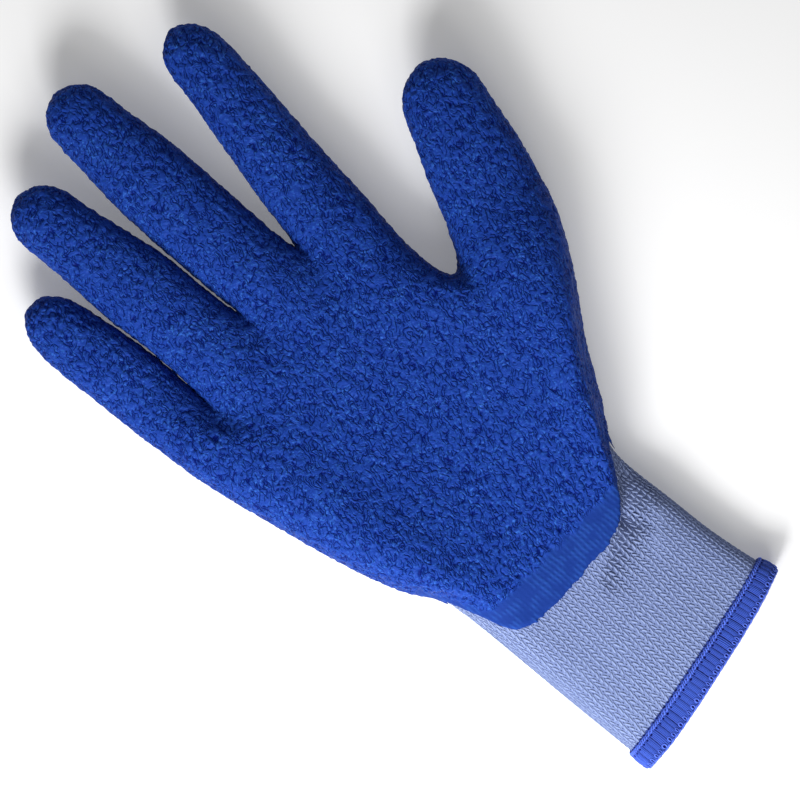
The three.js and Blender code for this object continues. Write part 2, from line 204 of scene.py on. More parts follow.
FINGERS = (
    Digit(Part.LITTLE, (0, 2), (-48.9, 217.0), -2.6, 7.4, 4.5, (
        Section(46, 10.2, 8.1, 0.1),
        Section(32, 10.2, 8.1, 0.3),
        Section(18, 9.7, 7.7, 0),
        Section(6, 7.5, 5.8, 0),
    )),
    Digit(Part.RING, (2, 4), (-27.6, 239.8), -3.6, 9.2, 4.0, (
        Section(61, 11.9, 8.7, -0.5),
        Section(45, 12.1, 8.5, 0),
        Section(31, 11.2, 8.1, 0),
        Section(17, 10.1, 7.9, 0),
        Section(6, 8.5, 6.0, -0.1),
    )),
    Digit(Part.MIDDLE, (4, 6), (1.6, 251.1), 1.0, 8.8, 3.5, (
        Section(69, 12.3, 8.8, 0.2),
        Section(50, 12.4, 8.6, 0),
        Section(33, 12.0, 8.3, 0),
        Section(17, 10.4, 7.6, 0),
        Section(6, 8.6, 5.8, 0.1),
    )),
    Digit(Part.INDEX, (6, 8), (38.2, 237.5), 10.2, 8.8, 4.0, (
        Section(58, 11.6, 8.7, 0.1),
        Section(43, 10.8, 8.4, 0.2),
        Section(29, 10.1, 8.0, 0.5),
        Section(16, 9.3, 7.6, 0.5),
        Section(6, 7.7, 5.9, 0),
    )),
)
THUMB = Digit(Part.THUMB, (8, 10), (77.9, 176.5), 22.3, 10.4, 4.0, (
    Section(45, 15.2, 10.4, -0.2),
    Section(31, 14.3, 9.8, 0),
    Section(18, 12.7, 8.9, 0),
    Section(7, 10.3, 6.8, 0),
))

# Form of the flat rows and of the digits, as in the solids
COLUMNS = 10
SAG_POWER = 3.2
CORNER_INSET = 0.3
CORNER_HEIGHT = 0.74
PAD_REACH = 0.38
DIGIT_SQUARENESS = 2.25
LIFT_POWER = 1.6
ROOT_LENGTH = 12.0
FIT_ROUNDS = 12

# The surface's own coordinates: once round is 1 across, and this many millimetres are 1 along
FORM_SPAN = 300.0
FORM_START = 20.0

# A coat value of 1 is this many millimetres inside the rubber's edge on the palm
TONGUE_UNIT = 10.0

# Painted shade on yarn: how light a yarn's colour stays on its flank beside its crest
FLANK_SHADE = 0.7

# The cuff's ribs end here, and its first courses lean with the hem
CUFF_END = 63.0
HEM_TILT = 0.13

# How far the hem's threads stray across, along and up, in pitches
HEM_WANDER = (1.2, 0.02, 0.0)

# Share of the way round between the back's last column and the flank over it, past the thumb's fork
FLANK_TURN = 0.05


def form_length(length: float) -> float:
    """Place along the form's own coordinates of a length in millimetres."""
    return (length + FORM_START) / FORM_SPAN


@dataclass
class Ring:
    """A closed ring of net vertices: palm side, right flank, back, left flank."""

    top: list[int]
    right: int
    back: list[int]
    left: int

    def loop(self) -> list[int]:
        """The vertices in order round the ring."""
        return [*self.top, self.right, *reversed(self.back), self.left]

    def stretch(self, first: int, last: int, left: int, right: int) -> "Ring":
        """The ring of two columns and those between them, closed by a vertex on its left and its right."""
        return Ring(self.top[first:last + 1], right, self.back[first:last + 1], left)


@dataclass
class GloveNet:
    """The coarse quad net whose smooth surface is the glove's outer form."""

    points: list[tuple[float, float, float]] = field(default_factory=list)
    coat: list[float] = field(default_factory=list)
    mouth: list[float] = field(default_factory=list)
    names: dict[str, int] = field(default_factory=dict)
    quads: list[tuple[int, ...]] = field(default_factory=list)
    parts: list[Part] = field(default_factory=list)
    places: list[tuple[tuple[float, float], ...]] = field(default_factory=list)

    def __post_init__(self) -> None:
        """Lays the whole net from the tables, then fits it."""
        rings = [self.hand_ring(row, index) for index, row in enumerate(HAND_ROWS)]
        turns = self.ring_turns(rings[REFERENCE_ROW])
        for index, (lower, upper) in enumerate(zip(rings, rings[1:])):
            part = Part.HEM if index == 0 else Part.CUFF if index < EDGE_ROW else Part.PALM
            self.band(lower, upper, part, turns)

        fork = rings[-1]
        web = self.crotch(THUMB_FORK, HAND_ROWS[-1])
        self.grow(THUMB, fork.stretch(THUMB_FORK.column, COLUMNS, web, fork.right))

        span = THUMB_FORK.column
        knuckles = self.hand_ring(KNUCKLE_ROWS[0], EDGE_ROW + 1, span)
        roots = self.hand_ring(KNUCKLE_ROWS[1], EDGE_ROW + 1, span, FINGER_FORKS)
        turns = self.narrowed(turns, span)
        self.band(fork.stretch(0, span, fork.left, web), knuckles, Part.PALM, turns)
        self.band(knuckles, roots, Part.PALM, turns)
        crotches = [self.crotch(item, KNUCKLE_ROWS[1]) for item in FINGER_FORKS]
        flanks = [roots.left, *crotches, roots.right]
        for finger, left, right in zip(FINGERS, flanks, flanks[1:]):
            self.grow(finger, roots.stretch(*finger.columns, left, right))
        self.fit()

    def vertex(self, name: str, point: Sequence[float], coat: float, mouth: float = -1) -> int:
        """Adds a vertex, or finds it again by its name.

        Args:
            name: its name.
            point: its place in the tables' millimetres.
            coat: 1 where the rubber covers it, 0 on the rubber's edge and -1 on bare knit.
            mouth: 1 at the mouth, 0 at the hem's top and -1 beyond.

        Returns:
            Its index.
        """
        if name not in self.names:
            self.names[name] = len(self.points)
            self.points.append(tuple(point))
            self.coat.append(coat)
            self.mouth.append(mouth)
        return self.names[name]

    def hand_ring(self, row: Row, index: int, last: int = COLUMNS, forks: Sequence[Fork] = ()) -> Ring:
        """Ring of one row of the flat hand.

        Args:
            row: the row's sizes.
            index: its place from the mouth, which tells the coat and the hem.
            last: its last column.
            forks: forks of the digits in it.

        Returns:
            The ring.
        """
        if row is HAND_ROWS[-1]:
            forks = (THUMB_FORK,)
        coat = float(np.sign(index - EDGE_ROW))
        mouth = max(1.0 - index, -1.0)
        left, right = np.array(row.left), np.array(row.right)
        along = (right - left) / np.linalg.norm(right - left)
        inset = CORNER_INSET * row.half_thick
        posts = [0, *(fork.column for fork in forks), last]
        ends = np.array([left + along * inset, *(fork.at for fork in forks), right - along * inset])
        middle = row.middle
        top, back = [], []
        for column in range(last + 1):
            plan = [np.interp(column, posts, ends[:, axis]) for axis in (0, 1)]
            share = column / last
            plan[1] -= row.sag * (1 - abs(2 * share - 1) ** SAG_POWER)
            fork = next((item for item in forks if item.column == column), None)
            high = self.pad_height(row.pads, share) + (fork.top if fork else 0)
            low = -row.belly + (fork.back if fork else 0)
            if column in (0, last):
                high = middle + (high - middle) * CORNER_HEIGHT
                low = middle + (low - middle) * CORNER_HEIGHT
            top.append(self.vertex(f"{row.name}.top{column}", (*plan, high), coat, mouth))
            back.append(self.vertex(f"{row.name}.back{column}", (*plan, low), -1, mouth))
        flanks = [
            self.vertex(f"{row.name}.{side}", (*place, middle), coat, mouth)
            for side, place in (("right", row.right), ("left", row.left))
        ]
        return Ring(top, flanks[0], back, flanks[1])

    @staticmethod
    def pad_height(pads: Sequence[float], share: float) -> float:
        """Height of the palm side, on a parabola through the three pads of its row.

        Args:
            pads: heights of the left pad, the middle and the right pad.
            share: share of the row's width, from its left end.

        Returns:
            The height, in millimetres.
        """
        t = (share - 0.5) / PAD_REACH
        slope = (pads[2] - pads[0]) / 2
        bend = (pads[2] + pads[0]) / 2 - pads[1]
        return pads[1] + slope * t + bend * min(t * t, 1)

    def crotch(self, fork: Fork, row: Row) -> int:
        """The vertex at the bottom of a fork."""
        return self.vertex(f"{row.name}.crotch{fork.column}", (*fork.crotch, row.middle), 1)

    def ring_turns(self, ring: Ring) -> list[float]:
        """Share of the way round at each vertex of a ring, by length.

        Args:
            ring: the ring.

        Returns:
            The shares, from 0 at its first vertex, and 1 where it closes.
        """
        points = np.array([self.points[index] for index in ring.loop()])
        steps = np.linalg.norm(np.roll(points, -1, axis=0) - points, axis=1)
        return [0.0, *(np.cumsum(steps) / steps.sum()).tolist()]

    @staticmethod
    def narrowed(turns: Sequence[float], last: int) -> list[float]:
        """Turns of a ring that has lost its last columns to the thumb; its flank hangs on its back."""
        back = list(turns[-(last + 3):])
        return [*turns[:last + 1], back[0] - FLANK_TURN, *back]

    def band(self, lower: Ring, upper: Ring, part: Part, turns: Sequence[float],
             reach: Callable[[int], float] | None = None) -> None:
        """Quads between two rings, each corner with its place on the form.

        Args:
            lower: the ring nearer the mouth.
            upper: the next ring.
            part: the stretch that the quads belong to.
            turns: share of the way round at each vertex of the loop, and at its closing.
            reach: length along the form at a vertex; its y where none is given.
        """
        far = reach or self.length_along
        a, b = lower.loop(), upper.loop()
        for k, corner in enumerate(a):
            following = (k + 1) % len(a)
            quad = (corner, a[following], b[following], b[k])
            across = (turns[k], turns[k + 1], turns[k + 1], turns[k])
            self.quads.append(quad)
            self.parts.append(part)
            self.places.append(tuple((turn, form_length(far(index))) for turn, index in zip(across, quad)))

    def length_along(self, index: int) -> float:
        """Length along the hand at a vertex, level with the tilted hem at the cuff's end."""
        x, y, _ = self.points[index]
        return y - x * float(np.interp(y, (0.0, CUFF_END), (HEM_TILT, 0.0)))

    def digit_ring(self, digit: Digit, index: int) -> Ring:
        """The ring of one section of a digit.

        Args:
            digit: the digit.
            index: which of its sections.

        Returns:
            The ring.
        """
        section = digit.sections[index]
        centre = np.array(digit.tip) - digit.along * section.from_tip
        height = digit.height + digit.lift * (1 - section.from_tip / digit.reach) ** LIFT_POWER
        wrapped = 1.0 if index == len(digit.sections) - 1 else -1.0

        def place(eighth: int, label: str, coat: float) -> int:
            """Adds a vertex of the squarish oval.

            Args:
                eighth: how many eighths of a turn from the thumb side.
                label: the end of its name.
                coat: its coat value.

            Returns:
                Its index.
            """
            turn = eighth * math.pi / 4
            shares = (math.cos(turn), math.sin(turn))
            across, up = (math.copysign(abs(share) ** (2 / DIGIT_SQUARENESS), share) for share in shares)
            plan = centre + digit.across * (across * section.half_width + section.aside)
            point = (*plan, height + up * section.half_thick)
            return self.vertex(f"{digit.part.name}.{index}.{label}", point, coat)

        top = [place(k, f"top{k}", 1) for k in (3, 2, 1)]
        back = [place(k, f"back{k}", wrapped) for k in (5, 6, 7)]
        return Ring(top, place(0, "right", 1), back, place(4, "left", 1))

    def grow(self, digit: Digit, root: Ring) -> None:
        """Adds the net of one digit.

        Args:
            digit: the digit.
            root: the ring in the hand that it grows from.
        """
        start = np.array(digit.tip) - digit.along * digit.reach

        def reach(index: int) -> float:
            """Length along the digit at a vertex."""
            return float((np.array(self.points[index][:2]) - start) @ digit.along)

        lower = root
        turns = np.linspace(0, 1, len(root.loop()) + 1).tolist()
        for index in range(len(digit.sections)):
            upper = self.digit_ring(digit, index)
            self.band(lower, upper, digit.part, turns, reach)
            lower = upper
        tip = self.vertex(f"{digit.part.name}.tip", (*digit.tip, digit.height + digit.lift), 1)
        caps = (
            (lower.top[0], lower.top[1], tip, lower.left),
            (lower.top[1], lower.top[2], lower.right, tip),
            (tip, lower.right, lower.back[2], lower.back[1]),
            (lower.left, tip, lower.back[1], lower.back[0]),
        )
        for cap in caps:
            self.quads.append(cap)
            self.parts.append(digit.part)
            self.places.append(((0.5, form_length(reach(tip))),) * 4)

    def fit(self) -> None:
        """Moves the net until its smooth surface passes through the tables' points."""
        targets = np.array(self.points)
        passing = self.limit_matrix()
        points = targets.copy()
        for _ in range(FIT_ROUNDS):
            points += targets - passing @ points
        shift = np.array([*PLAN_CENTRE, 0.0])
        self.points = [tuple(point) for point in (points - shift) * MM]

    def limit_matrix(self) -> np.ndarray:
        """Weights that give the smooth surface's point for each vertex of the net.

        Returns:
            A square matrix, by the usual rule for such surfaces: inside the net a vertex counts by the
            square of its edges, its neighbours 4 and the far corners of its quads 1, and on a rim the
            vertex counts 4 and its two neighbours 1.
        """
        beside, across, uses = defaultdict(set), defaultdict(list), defaultdict(int)
        for quad in self.quads:
            for k, corner in enumerate(quad):
                following = quad[(k + 1) % 4]
                beside[corner].add(following)
                beside[following].add(corner)
                across[corner].append(quad[(k + 2) % 4])
                uses[frozenset((corner, following))] += 1
        rim = defaultdict(list)
        for edge, count in uses.items():
            if count == 1:
                a, b = edge
                rim[a].append(b)
                rim[b].append(a)
        weights = np.zeros((len(self.points), len(self.points)))
        for index in range(len(self.points)):
            if rim[index]:
                weights[index, index] = 4
                weights[index, rim[index]] = 1
            else:
                count = len(beside[index])
                weights[index, index] = count * count
                weights[index, list(beside[index])] = 4
                for other in across[index]:
                    weights[index, other] += 1
            weights[index] /= weights[index].sum()
        return weights


@dataclass(frozen=True)
class Border:
    """A line across the palm, in the tables' millimetres, with the fingers above it."""

    posts: tuple[tuple[float, float], ...]

    def beyond(self, plan: np.ndarray) -> np.ndarray:
        """How far each plan point lies beyond the line towards the fingers.

        Args:
            plan: plan points in the tables' millimetres.

        Returns:
            The distances in millimetres, below 0 on the cuff's side.
        """
        posts = np.array(self.posts)
        nearest = np.full(len(plan), np.inf)
        for start, end in zip(posts, posts[1:]):
            span = end - start
            share = np.clip((plan - start) @ span / (span @ span), 0, 1)
            nearest = np.minimum(nearest, np.linalg.norm(plan - start - share[:, None] * span, axis=1))
        level = np.interp(plan[:, 0], posts[:, 0], posts[:, 1])
        return np.where(plan[:, 1] > level, nearest, -nearest)


# The edge of the tongue of rubber on the cuff
TONGUE_EDGE = Border((
    (-38, 75), (-35, 67), (-33, 61), (-31, 54.5), (-29, 50.5), (-26, 48.5), (-21, 47.2), (-14, 46.4),
    (-2, 46.4),
    (8, 46.2), (14.5, 47.8), (19.5, 51.8), (23, 55.8), (25.5, 59), (28.5, 62.8), (31, 66),
))

# Where the rubber ends on the little finger's flank and on the thumb's, and how much nearer to the
# fingers it ends where the flank has turned right under
FLANK_ENDS = (75.0, 65.0)
FLANK_SLOPE = 9.0

# Upward share of the surface's direction at which each of those flanks starts to count as palm and
# at which it fully does, and how much the tongue's own line overrides the flank's end there
PALM_START = (0.0, -0.04)
PALM_FULL = (0.3, 0.15)
PALM_PULL = 4.0

# The tongue's line holds up to here along the hand, and no longer at the second length
TONGUE_REACH = (74.0, 84.0)

# Where the crinkled face begins
CRINKLE_EDGE = Border((
    (-38, 79), (-34, 69), (-31, 61.5), (-25.5, 58.8), (-18, 57.8), (-10, 58), (-5, 57.5), (2.5, 56.6),
    (12, 56.5),
    (17, 56.2), (21, 56.2), (25, 58.6), (28, 62.6), (31, 67),
))


@dataclass(frozen=True)
class Crease:
    """A soft fold of the knitted cuff.

    It has where it runs, its depth at both ends, how wide its steep and gentle sides are, how the
    gentle one falls off, and how far it runs out past its ends, as a share of its length.
    """

    start: tuple[float, float]
    end: tuple[float, float]
    depth: tuple[float, float]
    steep: float
    gentle: float
    gentle_power: float = 1.2
    run_out: float = 0.18

    def drop(self, plan: np.ndarray) -> np.ndarray:
        """How far the surface drops at each plan point.

        Args:
            plan: plan points in the tables' millimetres.

        Returns:
            The drops in millimetres.
        """
        start, end = np.array(self.start), np.array(self.end)
        length = np.linalg.norm(end - start)
        along = (end - start) / length
        across = np.array([-along[1], along[0]])
        t = (plan - start) @ along / length
        aside = (plan - start) @ across
        off = np.where(aside < 0, (aside / self.steep) ** 2, np.abs(aside / self.gentle) ** self.gentle_power)
        past_end = np.maximum(np.abs(t - 0.5) - 0.5, 0)
        depth = np.interp(t, (0, 1), self.depth) * np.exp(-(past_end / self.run_out) ** 2)
        return depth * np.exp(-off)


CUFF_CREASES = (
    Crease((26.4, 55.4), (15.6, 46.8), (2.5, 2.3), 1.1, 4.6),
    Crease((15.6, 46.8), (0.0, 40.0), (2.2, 0.9), 1.1, 4.0),
    Crease((25.0, 42.5), (15.6, 35.0), (-0.6, -0.2), 1.6, 2.0),
)


def node_object(name: str, mesh: bpy.types.Mesh) -> bpy.types.Object:
    """An object for a mesh, linked to the scene.

    Args:
        name: its name.
        mesh: its mesh.

    Returns:
        The object.
    """
    piece = bpy.data.objects.new(name, mesh)
    bpy.context.scene.collection.objects.link(piece)
    return piece


def settled(piece: bpy.types.Object) -> bpy.types.Object:
    """Turns a piece's modifiers into its plain mesh.

    Args:
        piece: the piece with its modifiers.

    Returns:
        The same piece, with none.
    """
    bpy.context.view_layer.update()
    evaluated = piece.evaluated_get(bpy.context.evaluated_depsgraph_get())
    mesh = bpy.data.meshes.new_from_object(evaluated)
    piece.modifiers.clear()
    old = piece.data
    piece.data = mesh
    bpy.data.meshes.remove(old)
    mesh.name = piece.name
    return piece


def triangle_count(piece: bpy.types.Object) -> int:
    """Number of triangles in a piece's mesh."""
    return sum(len(polygon.vertices) - 2 for polygon in piece.data.polygons)


def add_values(mesh: bpy.types.Mesh, name: str, values: np.ndarray) -> None:
    """Stores one number, or one vector, for each vertex of a mesh.

    Args:
        mesh: the mesh.
        name: the attribute's name.
        values: a row for each vertex.
    """
    vector = values.ndim == 2
    attribute = mesh.attributes.new(name, "FLOAT_VECTOR" if vector else "FLOAT", "POINT")
    attribute.data.foreach_set("vector" if vector else "value", values.astype(np.float32).ravel())


def read_array(source: bpy.types.bpy_prop_collection, name: str, shape: tuple[int, ...],
               kind: type = np.float32) -> np.ndarray:
    """Reads one property of every element of a Blender collection.

    Args:
        source: the collection.
        name: the property.
        shape: shape of the result.
        kind: type of its numbers.

    Returns:
        The values.
    """
    values = np.zeros(shape, kind)
    source.foreach_get(name, values.ravel())
    return values


def place_on_body(piece: bpy.types.Object, replaces: Sequence[str] = ()) -> None:
    """Names a finished piece's body and the solids that it stands for.

    Args:
        piece: the piece.
        replaces: the solids that it stands for.
    """
    for polygon in piece.data.polygons:
        polygon.use_smooth = True
    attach(piece, "root")
    if replaces:
        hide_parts(*replaces)
    log.info("%s: %d triangles", piece.name, triangle_count(piece))


class SmoothForm:
    """The net's smooth surface at one level, as arrays."""

    def __init__(self, net: GloveNet, level: int) -> None:
        """Subdivides the net in Blender and reads the surface back.

        Args:
            net: the fitted net.
            level: how often each quad is halved.
        """
        mesh = bpy.data.meshes.new("form")
        mesh.from_pydata(net.points, [], net.quads)
        layer = mesh.uv_layers.new(name=FORM_UV)
        layer.data.foreach_set("uv", np.array(net.places, np.float32).ravel())
        add_values(mesh, "coat", np.array(net.coat))
        add_values(mesh, "mouth", np.array(net.mouth))
        part = mesh.attributes.new("part", "INT", "FACE")
        part.data.foreach_set("value", np.array(net.parts, np.int32))
        piece = node_object("form", mesh)
        smooth = piece.modifiers.new("Smooth", "SUBSURF")
        smooth.levels = level
        smooth.render_levels = level
        smooth.use_limit_surface = True
        smooth.uv_smooth = "NONE"
        mesh = settled(piece).data

        vertices, faces = len(mesh.vertices), len(mesh.polygons)
        self.points = read_array(mesh.vertices, "co", (vertices, 3))
        self.quads = read_array(mesh.loops, "vertex_index", (faces, 4), np.int32)
        self.uvs = read_array(mesh.uv_layers[FORM_UV].data, "uv", (faces, 4, 2))
        self.coat = read_array(mesh.attributes["coat"].data, "value", (vertices,))
        self.mouth = read_array(mesh.attributes["mouth"].data, "value", (vertices,))
        self.parts = read_array(mesh.attributes["part"].data, "value", (faces,), np.int32)
        bpy.data.objects.remove(piece)
        bpy.data.meshes.remove(mesh)
        self.normals = self.vertex_normals()
        self.draw_tongue()
        self.creased = self.cuff_folds()
        self.points -= self.normals * (self.creased * MM)[:, None]

    def vertex_normals(self) -> np.ndarray:
        """Finds which way the surface faces.

        Returns:
            The outward direction at each vertex.
        """
        corners = self.points[self.quads]
        facing = np.cross(corners[:, 2] - corners[:, 0], corners[:, 3] - corners[:, 1])
        normals = np.zeros_like(self.points)
        for k in range(4):
            np.add.at(normals, self.quads[:, k], facing)
        return normals / np.linalg.norm(normals, axis=1, keepdims=True)

    def table_plan(self) -> np.ndarray:
        """Plan places of the vertices in the tables' millimetres."""
        return self.points[:, :2] / MM + np.array(PLAN_CENTRE)

    def draw_tongue(self) -> None:
        """Sets the coat value at the wrist: the tongue's own line on the palm side, and the flanks' ends."""
        plan, facing_up = self.table_plan(), self.normals[:, 2]
        near = smooth_step(facing_up, -0.1, 0.35) * (1 - smooth_step(plan[:, 1], *TONGUE_REACH))
        drawn = np.clip(TONGUE_EDGE.beyond(plan) / TONGUE_UNIT, -1, 1)
        self.coat += (drawn - self.coat) * near
        rise = np.minimum(facing_up, 0) * FLANK_SLOPE
        sides = (FLANK_ENDS, PALM_START, PALM_FULL)
        end, start, full = (np.where(plan[:, 0] < 0, *both) for both in sides)
        inside = plan[:, 1] - end + rise
        on_palm = smooth_step(facing_up, start, full)
        self.coat = np.minimum(self.coat, inside / TONGUE_UNIT + PALM_PULL * on_palm)

    def cuff_folds(self) -> np.ndarray:
        """Finds how deep the cuff's soft folds are, which lie on its palm side and off the rubber.

        Returns:
            The depth at each vertex, in millimetres.
        """
        facing = np.clip(self.normals[:, 2] * 2, 0, 1)
        drop = sum(crease.drop(self.table_plan()) for crease in CUFF_CREASES)
        bare = 1 - smooth_step(self.coat * TONGUE_UNIT, -0.4, 1.2)
        return drop * facing * bare

    def set_in(self, depth: float | np.ndarray, lowest: float) -> np.ndarray:
        """The surface moved in along its normals, and flattened where it would sink lower.

        Args:
            depth: how far, in millimetres.
            lowest: lowest height, in millimetres.

        Returns:
            The moved points, in metres.
        """
        moved = self.points - self.normals * (np.asarray(depth, np.float32) * MM).reshape(-1, 1)
        moved[:, 2] = np.maximum(moved[:, 2], lowest * MM)
        return moved

    def bed(self, name: str, parts: Sequence[Part], depth: float, lowest: float) -> bpy.types.Object:
        """A surface that stitches are laid on, with its own coordinates and directions.

        Args:
            name: name of its object.
            parts: the stretches that it has.
            depth: its depth below the outer surface, in millimetres.
            lowest: its lowest height, in millimetres.

        Returns:
            A helper object, which is removed once the stitches are laid.
        """
        faces = np.flatnonzero(np.isin(self.parts, parts))
        used, index = np.unique(self.quads[faces], return_inverse=True)
        mesh = bpy.data.meshes.new(name)
        mesh.from_pydata(self.set_in(depth, lowest)[used], [], index.reshape(-1, 4))
        layer = mesh.uv_layers.new(name=FORM_UV)
        layer.data.foreach_set("uv", self.uvs[faces].ravel())
        for label, values in (("coat", self.coat), ("mouth", self.mouth), ("up", self.normals)):
            add_values(mesh, label, values[used])
        return node_object(name, mesh)


Link = bpy.types.NodeSocket

# Middle value of Blender's noise
NOISE_MIDDLE = 0.5


def per_size(size: float) -> float:
    """Scale of a noise whose features are about so many millimetres wide."""
    return 1 / (size * MM)


class TreeHand:
    """Builds a node tree: places nodes, sets their sockets and links them."""

    def __init__(self, tree: bpy.types.NodeTree) -> None:
        """Works on the given tree, which is empty."""
        self.tree = tree

    def node(self, kind: str, inputs: dict[str | int, object] | None = None,
             **settings: object) -> bpy.types.Node:
        """Adds a node.

        Args:
            kind: its type.
            inputs: a value or a link for each socket, by name or place.
            settings: the node's own settings.

        Returns:
            The node.
        """
        made = self.tree.nodes.new(kind)
        for name, value in settings.items():
            setattr(made, name, value)
        for name, value in (inputs or {}).items():
            socket = made.inputs[name] if isinstance(name, int) else next(
                item for item in made.inputs if item.name == name and item.enabled
            )
            if isinstance(value, Link):
                self.tree.links.new(value, socket)
            else:
                socket.default_value = value
        return made

    def link(self, source: Link, node: bpy.types.Node, name: str) -> None:
        """Links an output to a node's input."""
        self.tree.links.new(source, node.inputs[name])

    def split(self, vector: Link) -> bpy.types.bpy_prop_collection:
        """The three parts of a vector."""
        return self.node("ShaderNodeSeparateXYZ", {0: vector}).outputs

    def joined(self, *parts: object) -> Link:
        """A vector of up to three parts."""
        return self.node("ShaderNodeCombineXYZ", dict(enumerate(parts))).outputs[0]

    def attribute(self, name: str, output: str = "Fac") -> Link:
        """An attribute of the mesh, in a shader."""
        return self.node("ShaderNodeAttribute", attribute_name=name).outputs[output]

    def math(self, operation: str, *values: object) -> Link:
        """Result of a Math node."""
        return self.node("ShaderNodeMath", dict(enumerate(values)), operation=operation).outputs[0]

    def vector(self, operation: str, *values: object) -> Link:
        """Vector result of a Vector Math node."""
        return self.node("ShaderNodeVectorMath", dict(enumerate(values)), operation=operation).outputs[0]

    def scaled(self, vector: Link, scale: object) -> Link:
        """A vector times a number."""
        made = self.node("ShaderNodeVectorMath", {0: vector, "Scale": scale}, operation="SCALE")
        return made.outputs[0]

    def centred(self, colour: Link) -> Link:
        """A noise's colour as a vector round nought."""
        return self.vector("SUBTRACT", colour, (NOISE_MIDDLE,) * 3)

    def ramp(self, value: Link, low: float, high: object, to_low: float = 0.0, to_high: float = 1.0,
             smooth: bool = True) -> Link:
        """A value mapped from one range to another, and kept inside it.

        Args:
            value: the value.
            low: low end of its range.
            high: high end of its range.
            to_low: what the low end becomes.
            to_high: what the high end becomes.
            smooth: eases in and out, where it isn't a straight line.

        Returns:
            The mapped value.
        """
        made = self.node(
            "ShaderNodeMapRange",
            {"Value": value, "From Min": low, "From Max": high, "To Min": to_low, "To Max": to_high},
            interpolation_type="SMOOTHSTEP" if smooth else "LINEAR",
        )
        return made.outputs[0]

    def noise(self, place: Link, scale: float, detail: float = 0.0, output: str = "Fac") -> Link:
        """A noise with so many features in a unit of length."""
        made = self.node("ShaderNodeTexNoise", {"Vector": place, "Scale": scale, "Detail": detail})
        return made.outputs[output]

    def mix(self, share: object, first: object, second: object) -> Link:
        """A colour between two others."""
        made = self.node("ShaderNodeMix", {"Factor": share, "A": first, "B": second}, data_type="RGBA")
        return next(item for item in made.outputs if item.enabled)


class NodeGroup(TreeHand):
    """A node group with named inputs and outputs."""

    def __init__(self, name: str, kind: str, inputs: dict[str, str], outputs: dict[str, str]) -> None:
        """Makes an empty group.

        Args:
            name: its name.
            kind: the tree's type.
            inputs: each input's name and socket type.
            outputs: each output's name and socket type.
        """
        super().__init__(bpy.data.node_groups.new(name, kind))
        for in_out, sockets in (("INPUT", inputs), ("OUTPUT", outputs)):
            for label, socket_type in sockets.items():
                self.tree.interface.new_socket(name=label, in_out=in_out, socket_type=socket_type)
        self.given = self.node("NodeGroupInput").outputs
        self.result = self.node("NodeGroupOutput").inputs

    def named(self, name: str, data_type: str = "FLOAT") -> Link:
        """An attribute of the mesh, in a geometry tree."""
        return self.node("GeometryNodeInputNamedAttribute", {"Name": name}, data_type=data_type).outputs[0]

    def position(self) -> Link:
        """Where each point is, in a geometry tree."""
        return self.node("GeometryNodeInputPosition").outputs[0]

    def solid(self, geometry: Link) -> Link:
        """Makes geometry real, in the material that the tree is given.

        Args:
            geometry: the geometry.

        Returns:
            The real geometry.
        """
        real = self.node("GeometryNodeRealizeInstances", {"Geometry": geometry}).outputs[0]
        made = self.node("GeometryNodeSetMaterial", {"Geometry": real, "Material": self.given["Material"]})
        return made.outputs[0]

    def close(self, **links: Link) -> bpy.types.NodeTree:
        """Links the group's outputs.

        Args:
            links: a link for each output, whose spaces are written as underscores.

        Returns:
            The group's tree.
        """
        for name, link in links.items():
            self.tree.links.new(link, self.result[name.replace("_", " ")])
        return self.tree


GEOMETRY = "NodeSocketGeometry"
NUMBER = "NodeSocketFloat"
WHOLE = "NodeSocketInt"
SWITCH = "NodeSocketBool"
VECTOR = "NodeSocketVector"
COLOUR = "NodeSocketColor"


def set_modifier(piece: bpy.types.Object, tree: bpy.types.NodeTree, values: dict[str, object]) -> None:
    """Puts a node tree on a piece and sets its inputs by their sockets' identifiers.

    Args:
        piece: the piece.
        tree: the tree.
        values: each input's name and value.
    """
    modifier = piece.modifiers.new(tree.name, "NODES")
    modifier.node_group = tree
    identifiers = {
        item.name: item.identifier for item in tree.interface.items_tree if item.in_out == "INPUT"
    }
    for name, value in values.items():
        modifier[identifiers[name]] = value


